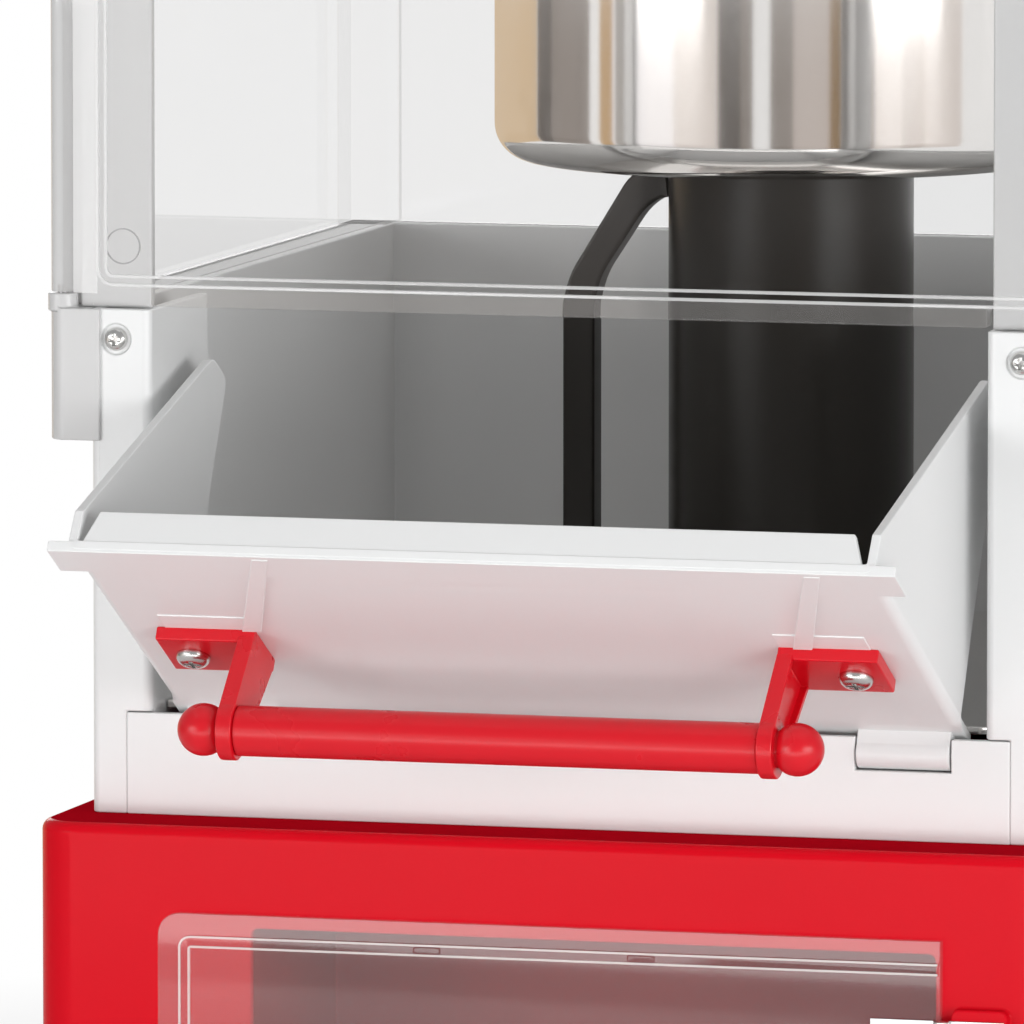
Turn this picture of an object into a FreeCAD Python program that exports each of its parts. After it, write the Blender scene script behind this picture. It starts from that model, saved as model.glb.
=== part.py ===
"""Tabletop popcorn maker: red storage base, white popping chamber with a tilting serving door,
clear cabinet with a swinging window, kettle with stirrer on a pedestal, and a red roof.

Millimetres, +Z up, +X to the viewer's right, -Y to the front. The feet stand on Z = 0.
"""
import FreeCAD
import Part
import Sketcher
import os
import re
from FreeCAD import Placement, Rotation, Vector

doc = FreeCAD.newDocument("PopcornMaker")
sheet = doc.addObject("Spreadsheet::Sheet", "Sizes")

SIZES = {
    # Storage base: moulded walls, closed above by a deck and below by a plate on four feet
    "base_front": -119.7, "base_width": 280, "base_depth": 306, "base_top": 152, "base_wall": 3,
    "base_corner": 12, "base_edge": 3, "deck_thick": 4, "plate_thick": 3, "plate_gap": 0.5,
    "foot_radius": 11, "foot_height": 6, "foot_inset": 26,
    "boss_inset": 7.5, "boss_radius": 5, "boss_height": 22,
    "boss_screw_radius": 1.6, "boss_head_radius": 3.2, "boss_head_height": 2,
    # Clear storage door, measured in from the base's edges, and the bay behind it
    "store_left": 36, "store_right": 31.8, "store_low": 12, "store_high": 22.4,
    "store_thick": 3, "store_gap": 0.6, "store_corner": 6,
    "rib_inset": 6, "rib_width": 3, "rib_height": 0.8,
    "bay_left": 24.5, "bay_right": 2.2, "bay_low": 6, "bay_high": 4.1, "bay_depth": 78, "liner_wall": 2,
    # Leaf hinges and knob of the storage door
    "hinge_offset": 0.9, "hinge_height": 20, "hinge_low": 12, "hinge_high": 20.6,
    "hinge_pin_radius": 0.9, "roll_radius": 2.1, "roll_gap": 0.3,
    "leaf_thick": 1, "leaf_inner": 18.5, "leaf_outer": 16.4,
    "pad_gap": 2.8, "pad_width": 15, "pad_margin": 2.8,
    "leaf_screw_offset": 9.6, "leaf_screw_pitch": 11, "leaf_screw_radius": 1.4, "leaf_screw_depth": 1.8,
    "leaf_head_radius": 2.6, "leaf_head_height": 1.2,
    "store_knob_inset": 12.5, "store_knob_rise": 58, "store_knob_radius": 6.5, "store_knob_length": 11,
    "store_neck_radius": 3.5, "store_neck_length": 5, "store_stud_radius": 1.75, "knob_round": 1.6,
    # Rocker switches on the base's right side and the lead inlet at the back
    "switch_setback": 47.3, "switch_drop": 56, "bezel_height": 52, "bezel_depth": 24, "bezel_thick": 1.6,
    "bezel_lap": 2, "bezel_corner": 2, "switch_body": 14,
    "rocker_height": 19, "rocker_depth": 15, "rocker_pitch": 23, "rocker_gap": 0.35,
    "rocker_proud": 1.4, "rocker_body": 9, "rocker_tilt": 7,
    "gland_inset": 45, "gland_rise": 26, "gland_radius": 8, "gland_bore": 3.6, "gland_flange": 11,
    "gland_flange_thick": 3, "gland_length": 9,
    # Popping chamber: white housing with an open front, its fascia and its floor
    "housing_setback": 22, "housing_rear_gap": 5, "housing_side_gap": 10, "housing_height": 134,
    "housing_wall": 3, "housing_edge": 2.5, "pillar_width": 16.5, "pillar_return": 52,
    "ledge_width": 5, "ledge_thick": 3, "floor_rise": 29, "floor_thick": 2, "floor_gap": 0.4,
    "floor_front_gap": 3,
    "fascia_height": 27, "fascia_lap": 6.5, "fascia_thick": 3, "fascia_gap": 0.3,
    "notch_side_gap": 0.8, "notch_below": 0.6,
    # Collar that carries the clear cabinet, and the screws in the housing's front
    "collar_gap": 0.3, "collar_side": 11.4, "collar_height": 35, "collar_nose": 5,
    "collar_lap": 3.1, "collar_proud": 1.2,
    "housing_screw_inset": 7, "housing_screw_drop": 8, "housing_screw_length": 9,
    "housing_head_radius": 3.1, "recess_radius": 4.1, "recess_depth": 0.8,
    "screw_radius": 2, "screw_gap": 0.1, "screw_head_height": 2.4, "screw_dome": 1.9,
    # Serving door, in its own axes: hinge line at the origin, closed, outside towards -Y
    "door_axis_back": 3, "door_axis_rise": 22.5, "door_tilt": 61.3, "door_side": 6, "door_face": 5,
    "door_thick": 2.5, "door_below": 3.7, "flange_side": 0.6, "flange_bottom": 98, "flange_top": 111.7,
    "lip_side": 12, "lip_depth": 9, "lip_thick": 2.5, "lip_fall": 1.9,
    "wing_thick": 2.5, "wing_bottom": 9, "wing_depth": 97.4, "wing_heel": 23,
    "field_width": 96, "field_bottom": 20, "field_top": 92, "field_raise": 0.6,
    "door_rib_inset": 42.5, "door_rib_width": 5, "door_rib_raise": 1,
    "knuckle_radius": 4, "knuckle_inset": 3.5, "knuckle_length": 25, "knuckle_web": 3.7,
    "door_pin_radius": 1.55, "door_pin_fit": 0.05, "door_pin_reach": 5, "pin_boss_radius": 3.6,
    # Handle: two brackets, a bar and its end balls
    "arm_inset": 32.9, "arm_thick": 4.3, "bracket_reach": 22.6, "bracket_bottom": 39.5, "bracket_top": 60.3,
    "bracket_plate": 3.7, "bar_out": 24.1, "bar_up": 61.8, "bar_radius": 6.6, "ring_radius": 7.8,
    "spigot_radius": 3.5, "spigot_length": 11.5, "press_gap": 0.05, "ball_radius": 6.9, "ball_offset": 5.1,
    "handle_screw_offset": 14.8, "handle_screw_up": 49.8, "handle_head_radius": 4.5, "handle_screw_tail": 2,
    # Clear cabinet: pillars, panes and the swinging front window
    "cabinet_height": 198, "pillar_back": 12, "pillar_depth": 12, "pillar_face": 22.4,
    "cover_back": 4, "cover_thick": 2.5, "cover_face": 27.5, "cover_side": 7.7, "rear_post": 15,
    "pane_thick": 2.5, "pane_inset": 2, "pane_gap": 0.3,
    "window_thick": 3, "window_right_gap": 4.5, "window_low_gap": 0.8, "window_top_gap": 1,
    "window_rim": 5.2, "window_rim_depth": 4, "rim_end_gap": 0.8,
    "bead_inset": 10.3, "bead_width": 2.6, "bead_raise": 1, "bead_corner": 5,
    "barrel_radius": 3.1, "barrel_back": 3.3, "barrel_inset": 0.1,
    "pivot_radius": 1.5, "pivot_fit": 0.08, "pivot_length": 12, "bush_radius": 4, "bush_height": 3.8,
    "bush_gap": 0.6, "window_knob_inset": 17.4, "window_knob_rise": 98.4, "window_knob_radius": 7,
    "window_knob_length": 12, "window_neck_radius": 3.5, "window_neck_length": 6,
    # Top frame, ceiling, lamp and roof
    "frame_height": 14, "frame_width": 12, "ceiling_thick": 2, "ceiling_ledge": 4,
    "roof_overhang": 4, "roof_gap": 0.6, "roof_lap": 10, "roof_height": 66, "roof_corner": 8,
    "roof_crown": 18,
    "lamp_inset": 48.5, "lamp_setback": 67.3, "lamp_holder_radius": 17, "lamp_holder_height": 20,
    "bulb_radius": 15, "bulb_neck": 9, "bulb_neck_length": 12, "bulb_drop": 10.5,
    # Kettle on its pedestal, with heater, gear motor, stirrer and a two-leaf lid
    "kettle_x": 14, "kettle_setback": 180.3, "kettle_radius": 81, "kettle_height": 84, "kettle_wall": 1.2,
    "kettle_edge": 10, "rim_radius": 2.2, "tube_radius": 6, "tube_wall": 1.2, "tube_height": 40,
    "pedestal_height": 133.8, "pedestal_radius": 33.5, "pedestal_wall": 2.5, "pedestal_foot": 42,
    "pedestal_foot_thick": 3, "shelf_drop": 50, "shelf_thick": 3, "shelf_eye": 4,
    "foot_screw_circle": 38, "foot_screw_radius": 1.5, "foot_screw_head": 3, "foot_screw_rise": 1.5,
    "foot_screw_tail": 2, "heater_radius": 26, "heater_wire": 3.2, "heater_gap": 0.3,
    "thermostat_radius": 6, "thermostat_height": 8, "motor_radius": 17, "motor_height": 30,
    "gearbox_radius": 20, "gearbox_height": 18, "gearbox_bore": 9, "shaft_radius": 3, "shaft_fit": 0.05,
    "stir_gap": 0.4, "stir_hub_radius": 9, "stir_hub_height": 12, "stir_hub_bore": 8.4,
    "stir_arm_thick": 3, "stir_arm_width": 6, "stir_arm_reach": 66, "stir_floor_gap": 2,
    "conduit_width": 9, "conduit_reach": 30, "conduit_drop": 34, "conduit_below": 2, "conduit_gap": 0.3,
    "bridge_width": 18, "bridge_thick": 3, "lid_thick": 1, "lid_rise": 0.3, "lid_gap": 0.6,
    "lid_overlap": 1.5, "lid_pin_radius": 1.2, "lid_pin_fit": 0.06, "lid_roll_radius": 2.4,
    "lid_roll_half": 45, "lid_lug": 4, "lid_tie": 2,
    # How far a cutting tool reaches past the face it opens, or a joined piece into its neighbour
    "cut_over": 1,
}


def fill_sheet():
    """Write every driving size to the sheet as a number with an alias."""
    for row, (alias, value) in enumerate(SIZES.items(), start=1):
        sheet.set(f"A{row}", alias)
        sheet.set(f"B{row}", str(value))
        sheet.setAlias(f"B{row}", alias)
    doc.recompute()


def formula(text):
    """Turn a formula in bare size names into one that reads the sheet."""
    return re.sub(r"[a-z]\w*", lambda found: "Sizes." + found.group()
                  if found.group() in SIZES else found.group(), str(text))


def number(text):
    """Work out a formula in size names."""
    return float(sheet.evalExpression(formula(text)))


def bind(item, path, text):
    """Tie one property of an object to a formula in size names."""
    item.setExpression(path, formula(text))


def place(item, x, y, z):
    """Tie an object's position to three formulas."""
    for axis, text in zip("xyz", (x, y, z)):
        bind(item, f"Placement.Base.{axis}", text)


def box(name, x, y, z):
    """A block between pairs of formulas along each axis."""
    block = doc.addObject("Part::Box", name)
    for path, (low, high) in zip(("Length", "Width", "Height"), (x, y, z)):
        bind(block, path, f"({high}) - ({low})")
    place(block, x[0], y[0], z[0])
    return block


TURNS = {"x": Rotation(Vector(0, 1, 0), 90), "y": Rotation(Vector(1, 0, 0), -90), "z": Rotation()}


def rod(name, axis, radius, start, length):
    """A round bar from a start point along +x, +y or +z."""
    bar = doc.addObject("Part::Cylinder", name)
    bar.Placement = Placement(Vector(), TURNS[axis])
    bind(bar, "Radius", radius)
    bind(bar, "Height", length)
    place(bar, *start)
    return bar


def ball(name, radius, centre, axis="z"):
    """A sphere about a centre point, with its poles along an axis."""
    round_piece = doc.addObject("Part::Sphere", name)
    round_piece.Placement = Placement(Vector(), TURNS[axis])
    bind(round_piece, "Radius", radius)
    place(round_piece, *centre)
    return round_piece


def ring(name, radius, wire, centre):
    """A level ring of round wire."""
    loop = doc.addObject("Part::Torus", name)
    bind(loop, "Radius1", radius)
    bind(loop, "Radius2", wire)
    place(loop, *centre)
    return loop


def join(name, pieces):
    """Fuse pieces into one solid."""
    whole = doc.addObject("Part::MultiFuse", name)
    whole.Shapes = pieces
    whole.Refine = True
    return whole


def remove(name, base, tools):
    """Cut one or more tools out of a base."""
    rest = doc.addObject("Part::Cut", name)
    rest.Base = base
    rest.Tool = tools[0] if len(tools) == 1 else join(name + "_tools", tools)
    rest.Refine = True
    return rest


def overlap(name, base, tool):
    """Keep what two pieces have in common."""
    shared = doc.addObject("Part::Common", name)
    shared.Base = base
    shared.Tool = tool
    return shared


def group(name, pieces):
    """Keep like pieces together as separate solids of one sub-part."""
    pack = doc.addObject("Part::Compound", name)
    pack.Links = pieces
    return pack


def rounded(name, base, radius, chosen):
    """Round the edges of a base that a test picks out."""
    base.recompute(True)
    soft = doc.addObject("Part::Fillet", name)
    soft.Base = base
    amount = number(radius)
    soft.Edges = [(index, amount, amount) for index, edge in enumerate(base.Shape.Edges, start=1)
                  if chosen(edge)]
    return soft


NEAR = 0.01


def runs_along(axis):
    """A test for straight edges along an axis."""
    def chosen(edge):
        if edge.Curve.TypeId != "Part::GeomLine":
            return False
        return abs(getattr(edge.Curve.Direction, axis)) > 1 - NEAR
    return chosen


def lies_at(axis, text):
    """A test for edges that lie wholly at one level of an axis."""
    level = number(text)

    def chosen(edge):
        low = getattr(edge.BoundBox, axis.upper() + "Min")
        high = getattr(edge.BoundBox, axis.upper() + "Max")
        return abs(low - level) < NEAR and abs(high - level) < NEAR
    return chosen


def both(first, second):
    """A test that two tests pass."""
    return lambda edge: first(edge) and second(edge)


def stands_at(across, along):
    """A test for upright edges at a distance either side of the middle and at one depth."""
    upright = both(runs_along("z"), lies_at("y", along))
    right = lies_at("x", across)
    left = lies_at("x", f"-{across}")
    return lambda edge: upright(edge) and (right(edge) or left(edge))


def is_round(edge):
    """A test for circles."""
    return edge.Curve.TypeId == "Part::GeomCircle"


def outline(name, plane, corners, depth, lift):
    """A flat plate with straight sides, padded from an origin plane and lifted along its normal."""
    body = doc.addObject("PartDesign::Body", name)
    sketch = body.newObject("Sketcher::SketchObject", name + "_outline")
    face = [item for item in body.Origin.OriginFeatures if item.Role == plane][0]
    sketch.AttachmentSupport = [(face, "")]
    sketch.MapMode = "FlatFace"
    points = [Vector(number(across), number(up), 0) for across, up in corners]
    for index, point in enumerate(points):
        sketch.addGeometry(Part.LineSegment(point, points[(index + 1) % len(points)]), False)
    for index in range(len(points)):
        following = (index + 1) % len(points)
        sketch.addConstraint(Sketcher.Constraint("Coincident", index, 2, following, 1))
    for index, corner in enumerate(corners):
        for kind, text, start in zip(("DistanceX", "DistanceY"), corner, points[index]):
            held = sketch.addConstraint(Sketcher.Constraint(kind, -1, 1, index, 1, start))
            bind(sketch, f"Constraints[{held}]", text)
    bind(sketch, "AttachmentOffset.Base.z", lift)
    pad = body.newObject("PartDesign::Pad", name + "_pad")
    pad.Profile = sketch
    bind(pad, "Length", depth)
    body.Tip = pad
    return body


def domed_screw(name, axis_point, head_radius, length):
    """A screw along +y from a seat point: a domed head in front of the seat and a shank behind it."""
    x, seat, z = axis_point
    head = rod(f"{name}_head", "y", head_radius, (x, f"{seat} - screw_head_height", z), "screw_head_height")
    head = rounded(f"{name}_dome", head, "screw_dome", lies_at("y", f"{seat} - screw_head_height"))
    shank = rod(f"{name}_shank", "y", "screw_radius", (x, f"{seat} - cut_over / 2", z),
                f"{length} + cut_over / 2")
    return join(name, [head, shank])


def knob(name, spot, grip_radius, neck_radius, stud_radius, lengths):
    """A turned knob that stands out along -y from a seat point: grip, neck and a stud behind the seat."""
    x, seat, z = spot
    whole, neck, stud = lengths
    grip = rod(f"{name}_grip", "y", grip_radius, (x, f"{seat} - {whole}", z), f"{whole} - {neck}")
    grip = rounded(f"{name}_soft", grip, "knob_round", is_round)
    stem = rod(f"{name}_neck", "y", neck_radius, (x, f"{seat} - {neck} - cut_over / 2", z),
               f"{neck} + cut_over / 2")
    tail = rod(f"{name}_stud", "y", stud_radius, (x, f"{seat} - cut_over", z), f"{stud} + cut_over")
    return join(f"{name}_whole", [grip, stem, tail])


NODES = {}


def node(label, item):
    """Name a finished sub-part; the name is also its file's."""
    item.Label = label
    NODES[label] = item


def mirrored(side, low, high):
    """A span on the right (side 1) or its mirror on the left (side -1)."""
    return (low, high) if side > 0 else (f"-({high})", f"-({low})")


def offset_pair(start, span):
    """A span moved along its axis."""
    return f"{start} + {span[0]}", f"{start} + {span[1]}"


SIDES = {"right": 1, "left": -1}
fill_sheet()

# Planes and lines that several pieces share
HALF_BASE = "(base_width / 2)"
DECK_LOW = "(base_top - deck_thick)"
BASE_REAR = "(base_front + base_depth)"
FRONT = "(base_front + housing_setback)"
REAR = f"({BASE_REAR} - housing_rear_gap)"
HALF_HOUSING = f"({HALF_BASE} - housing_side_gap)"
HALF_COLLAR = f"({HALF_HOUSING} + collar_gap + collar_side)"
HALF_OPENING = f"({HALF_HOUSING} - pillar_width)"
HOUSING_TOP = "(base_top + housing_height)"
FLOOR_TOP = "(base_top + floor_rise)"
FLOOR_UNDER = f"({FLOOR_TOP} - floor_thick)"
FASCIA_TOP = "(base_top + fascia_height)"
CABINET_TOP = f"({HOUSING_TOP} + cabinet_height)"
FRAME_TOP = f"({CABINET_TOP} + frame_height)"

# Storage door, its bay and its hinge line
STORE_FACE = "(base_front - store_gap - store_thick)"
STORE_LEFT = f"(-{HALF_BASE} + store_left)"
STORE_RIGHT = f"({HALF_BASE} - store_right)"
STORE_LOW = "(foot_height + store_low)"
STORE_HIGH = "(base_top - store_high)"
BAY_X = (f"{STORE_LEFT} + bay_left", f"{STORE_RIGHT} - bay_right")
BAY_Z = (f"{STORE_LOW} + bay_low", f"{STORE_HIGH} - bay_high")
HINGE_X = f"({STORE_RIGHT} + hinge_offset)"
HINGE_Y = f"({STORE_FACE} - roll_radius - roll_gap)"
HINGES = {"low": f"({STORE_LOW} + hinge_low)", "high": f"({STORE_HIGH} - hinge_high - hinge_height)"}
PAD_LEFT = f"({STORE_RIGHT} + pad_gap)"
KNOB_SPOT = (f"{STORE_LEFT} + store_knob_inset", STORE_FACE, f"{STORE_LOW} + store_knob_rise")

# Lead inlet and switches
GLAND_X = f"(-{HALF_BASE} + gland_inset)"
GLAND_Z = "(foot_height + gland_rise)"
SWITCH_Y = "(base_front + switch_setback)"
SWITCH_Z = "(base_top - switch_drop)"
ROCKER_X = f"({HALF_BASE} + bezel_thick + rocker_proud - rocker_body / 2)"

# Serving door: hinge line in the part's frame, then widths and handle places in the door's own axes
DOOR_Y = f"({FRONT} + door_axis_back)"
DOOR_Z = "(base_top + door_axis_rise)"
HALF_DOOR = f"({HALF_OPENING} - door_side)"
DOOR_BACK = "(door_face + door_thick)"
DOOR_MIDDLE = "(door_face + door_thick / 2)"
KNUCKLE_OUT = f"({HALF_DOOR} - knuckle_inset)"
KNUCKLE_IN = f"({KNUCKLE_OUT} - knuckle_length)"
ARM_OUT = f"({HALF_DOOR} - arm_inset)"
ARM_IN = f"({ARM_OUT} - arm_thick)"
HANDLE_SCREW_X = f"({ARM_OUT} + handle_screw_offset)"

# Front window's pivot line
PIVOT_X = f"(-{HALF_COLLAR} + barrel_radius + barrel_inset)"
PIVOT_Y = f"({FRONT} + barrel_back)"
WINDOW_RIGHT = f"({HALF_COLLAR} - window_right_gap)"
WINDOW_LOW = f"({HOUSING_TOP} + window_low_gap)"
WINDOW_HIGH = f"({CABINET_TOP} - window_top_gap)"
WINDOW_KNOB = (f"{WINDOW_RIGHT} - window_knob_inset", FRONT, f"{HOUSING_TOP} + window_knob_rise")

# Kettle's upright axis, its levels and the lid's hinge lines
KETTLE_Y = f"({FRONT} + kettle_setback)"
KETTLE_LOW = f"({FLOOR_TOP} + pedestal_height)"
KETTLE_TOP = f"({KETTLE_LOW} + kettle_height)"
SHELF = f"({KETTLE_LOW} - shelf_drop)"
TUBE_TOP = f"({KETTLE_LOW} + tube_height)"
LID_LEVEL = f"({KETTLE_TOP} + rim_radius)"
LID_LOW = f"({LID_LEVEL} + lid_rise)"
LID_AXIS_Z = f"({LID_LOW} + lid_thick / 2)"
LID_OFFSET = "(bridge_width / 2 + lid_gap + lid_roll_radius)"


def base_corner_points(inset):
    """Points set in from the base's four corners."""
    return [(f"{side} * ({HALF_BASE} - {inset})", y) for side in (-1, 1)
            for y in (f"base_front + {inset}", f"{BASE_REAR} - {inset}")]


def leaf_screw_points(side):
    """Screw places of the door leaves (side -1) or base leaves (side 1) in both hinges."""
    return [(f"{HINGE_X} + {side} * leaf_screw_offset",
             f"{low} + hinge_height / 2 + {end} * leaf_screw_pitch / 2")
            for low in HINGES.values() for end in (-1, 1)]


def leaf_screw_holes(name, side, start, depth):
    """Holes for the leaf screws from a start plane backwards."""
    return [rod(f"{name}_{index}", "y", "leaf_screw_radius", (x, start, z), depth)
            for index, (x, z) in enumerate(leaf_screw_points(side))]


def make_base():
    """Moulded base walls with the bay's opening, hinge pads and screw bosses, and the deck on them."""
    across = (f"-{HALF_BASE}", HALF_BASE)
    along = ("base_front", BASE_REAR)
    deck = box("deck_blank", across, along, (DECK_LOW, "base_top"))
    deck = rounded("deck_corners", deck, "base_corner", runs_along("z"))
    node("base_deck", rounded("deck_edge", deck, "base_edge", lies_at("z", "base_top")))
    outer = box("base_outer", across, along, ("foot_height", DECK_LOW))
    outer = rounded("base_outer_corners", outer, "base_corner", runs_along("z"))
    inner = box("base_inner", (f"-{HALF_BASE} + base_wall", f"{HALF_BASE} - base_wall"),
                ("base_front + base_wall", f"{BASE_REAR} - base_wall"),
                ("foot_height - cut_over", f"{DECK_LOW} + cut_over"))
    inner = rounded("base_inner_corners", inner, "base_corner - base_wall", runs_along("z"))
    bay = box("base_bay", BAY_X, ("base_front - cut_over", "base_front + base_wall + cut_over"), BAY_Z)
    half_depth = "(bezel_depth / 2 - bezel_lap)"
    half_height = "(bezel_height / 2 - bezel_lap)"
    well = box("base_switch_well", (f"{HALF_BASE} - base_wall - cut_over", f"{HALF_BASE} + cut_over"),
               (f"{SWITCH_Y} - {half_depth}", f"{SWITCH_Y} + {half_depth}"),
               (f"{SWITCH_Z} - {half_height}", f"{SWITCH_Z} + {half_height}"))
    inlet = rod("base_inlet", "y", "gland_radius", (GLAND_X, f"{BASE_REAR} - base_wall - cut_over", GLAND_Z),
                "base_wall + 2 * cut_over")
    shell = remove("base_walls", outer, [inner, bay, well, inlet])
    pads = [box(f"base_pad_{label}", (PAD_LEFT, f"{PAD_LEFT} + pad_width"),
                (STORE_FACE, "base_front + base_wall / 2"),
                (f"{low} - pad_margin", f"{low} + hinge_height + pad_margin"))
            for label, low in HINGES.items()]
    bosses = [rod(f"base_boss_{index}", "z", "boss_radius", (*spot, "foot_height + plate_thick"),
                  "boss_height")
              for index, spot in enumerate(base_corner_points("boss_inset"))]
    holes = [rod(f"base_boss_hole_{index}", "z", "boss_screw_radius", (*spot, "foot_height"), "boss_height")
             for index, spot in enumerate(base_corner_points("boss_inset"))]
    holes += leaf_screw_holes("base_leaf_hole", 1, f"{STORE_FACE} - cut_over",
                              "leaf_screw_depth + 2 * cut_over")
    whole = join("base_shell_whole", [shell, *pads, *bosses])
    node("base_shell", remove("base_shell_drilled", whole, holes))


def make_base_plate():
    """Flat plate that closes the base from below, its screws and four rubber feet."""
    edge = "(base_wall + plate_gap)"
    plate = box("plate_blank", (f"-{HALF_BASE} + {edge}", f"{HALF_BASE} - {edge}"),
                (f"base_front + {edge}", f"{BASE_REAR} - {edge}"),
                ("foot_height", "foot_height + plate_thick"))
    plate = rounded("plate_corners", plate, f"base_corner - {edge}", runs_along("z"))
    holes = []
    screws = []
    for index, spot in enumerate(base_corner_points("boss_inset")):
        holes.append(rod(f"plate_hole_{index}", "z", "boss_screw_radius", (*spot, "foot_height - cut_over"),
                         "plate_thick + 2 * cut_over"))
        shank = rod(f"plate_shank_{index}", "z", "boss_screw_radius - press_gap",
                    (*spot, "foot_height - cut_over"),
                    "plate_thick + boss_height / 2")
        head = rod(f"plate_head_{index}", "z", "boss_head_radius", (*spot, "foot_height - boss_head_height"),
                   "boss_head_height")
        screws.append(join(f"plate_screw_{index}", [shank, head]))
    feet = [rod(f"foot_{index}", "z", "foot_radius", (*spot, "0"), "foot_height")
            for index, spot in enumerate(base_corner_points("foot_inset"))]
    node("base_plate", remove("base_plate_drilled", plate, holes))
    node("base_plate_screws", group("base_plate_screw_set", screws))
    node("rubber_feet", group("rubber_foot_set", feet))


def make_bay_liner():
    """Open box behind the front wall that lines the storage bay."""
    front = "base_front + base_wall"
    outer = box("liner_outer", (f"{BAY_X[0]} - liner_wall", f"{BAY_X[1]} + liner_wall"),
                (front, f"{front} + bay_depth"), (f"{BAY_Z[0]} - liner_wall", f"{BAY_Z[1]} + liner_wall"))
    inner = box("liner_inner", BAY_X, (f"{front} - cut_over", f"{front} + bay_depth - liner_wall"), BAY_Z)
    node("bay_liner", remove("bay_liner_box", outer, [inner]))


def make_store_door():
    """Clear door with a raised rib all round, and its knob."""
    slab = box("store_slab", (STORE_LEFT, STORE_RIGHT), (STORE_FACE, f"{STORE_FACE} + store_thick"),
               (STORE_LOW, STORE_HIGH))
    slab = rounded("store_slab_corners", slab, "store_corner", runs_along("y"))
    frames = []
    for label, inset, extra in (("outer", "rib_inset", "0"),
                                ("inner", "(rib_inset + rib_width)", "cut_over")):
        frames.append(box(f"store_rib_{label}", (f"{STORE_LEFT} + {inset}", f"{STORE_RIGHT} - {inset}"),
                          (f"{STORE_FACE} - rib_height - {extra}",
                           f"{STORE_FACE} + store_thick / 2 + {extra}"),
                          (f"{STORE_LOW} + {inset}", f"{STORE_HIGH} - {inset}")))
    clear = [box(f"store_rib_clear_{label}", (f"{STORE_RIGHT} - leaf_inner - cut_over", STORE_RIGHT),
                 (f"{STORE_FACE} - rib_height - cut_over", STORE_FACE),
                 (f"{low} - cut_over", f"{low} + hinge_height + cut_over")) for label, low in HINGES.items()]
    rib = remove("store_rib", frames[0], [frames[1], *clear])
    x, face, z = KNOB_SPOT
    holes = [rod("store_knob_hole", "y", "store_stud_radius + press_gap", (x, f"{face} - cut_over", z),
                 "store_thick + 2 * cut_over")]
    holes += leaf_screw_holes("store_leaf_hole", -1, f"{STORE_FACE} - cut_over",
                              "leaf_screw_depth + 2 * cut_over")
    node("storage_door", remove("store_door_drilled", join("store_door_whole", [slab, rib]), holes))
    node("storage_knob", knob("store_knob", KNOB_SPOT, "store_knob_radius", "store_neck_radius",
                              "store_stud_radius", ("store_knob_length", "store_neck_length", "store_thick")))


def make_leaf(owner, label, low):
    """One hinge leaf: flat sheet, its rolls about the pin and the strips that join them."""
    third = "hinge_height / 3"
    clear = "(roll_radius + roll_gap)"
    sheet_y = (f"{STORE_FACE} - leaf_thick", STORE_FACE)
    strip_y = (f"{STORE_FACE} - leaf_thick", f"{STORE_FACE} - roll_gap")
    if owner == "door":
        flat = (f"{STORE_RIGHT} - leaf_inner", f"{HINGE_X} - {clear}")
        strip = (f"{HINGE_X} - {clear} - cut_over", HINGE_X)
        rolls = [(f"{low} + {third} + roll_gap", f"{third} - 2 * roll_gap")]
    else:
        flat = (f"{HINGE_X} + {clear}", f"{HINGE_X} + leaf_outer")
        strip = (HINGE_X, f"{HINGE_X} + {clear} + cut_over")
        rolls = [(low, third), (f"{low} + 2 * {third}", third)]
    name = f"{owner}_{label}"
    made = [box(f"leaf_flat_{name}", flat, sheet_y, (low, f"{low} + hinge_height"))]
    for index, (start, length) in enumerate(rolls):
        made.append(rod(f"leaf_roll_{name}_{index}", "z", "roll_radius", (HINGE_X, HINGE_Y, start), length))
        made.append(box(f"leaf_strip_{name}_{index}", strip, strip_y, (start, f"{start} + {length}")))
    bore = rod(f"leaf_bore_{name}", "z", "hinge_pin_radius + press_gap",
               (HINGE_X, HINGE_Y, f"{low} - cut_over"),
               "hinge_height + 2 * cut_over")
    return remove(f"leaf_bored_{name}", join(f"leaf_blank_{name}", made), [bore])


def make_store_hinges():
    """Two steel leaf hinges on the storage door: leaves on the door and the base, pins and screws."""
    top = f"{STORE_FACE} - leaf_thick"
    for owner, side in (("door", -1), ("base", 1)):
        holes = leaf_screw_holes(f"leaf_hole_{owner}", side, f"{top} - cut_over", "leaf_thick + 2 * cut_over")
        leaves = []
        for index, (label, low) in enumerate(HINGES.items()):
            leaf = make_leaf(owner, label, low)
            leaves.append(remove(f"leaf_{owner}_{label}", leaf, holes[2 * index:2 * index + 2]))
        screws = []
        for index, (x, z) in enumerate(leaf_screw_points(side)):
            head = rod(f"leaf_head_{owner}_{index}", "y", "leaf_head_radius",
                       (x, f"{top} - leaf_head_height", z),
                       "leaf_head_height")
            shank = rod(f"leaf_shank_{owner}_{index}", "y", "leaf_screw_radius - press_gap",
                        (x, f"{top} - leaf_head_height / 2", z),
                        "leaf_head_height / 2 + leaf_thick + leaf_screw_depth")
            screws.append(join(f"leaf_screw_{owner}_{index}", [head, shank]))
        node(f"storage_hinge_{owner}_leaves", group(f"leaves_{owner}", leaves))
        node(f"storage_hinge_{owner}_screws", group(f"leaf_screws_{owner}", screws))
    pins = [rod(f"hinge_pin_{label}", "z", "hinge_pin_radius", (HINGE_X, HINGE_Y, low), "hinge_height")
            for label, low in HINGES.items()]
    node("storage_hinge_pins", group("hinge_pin_set", pins))


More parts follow.
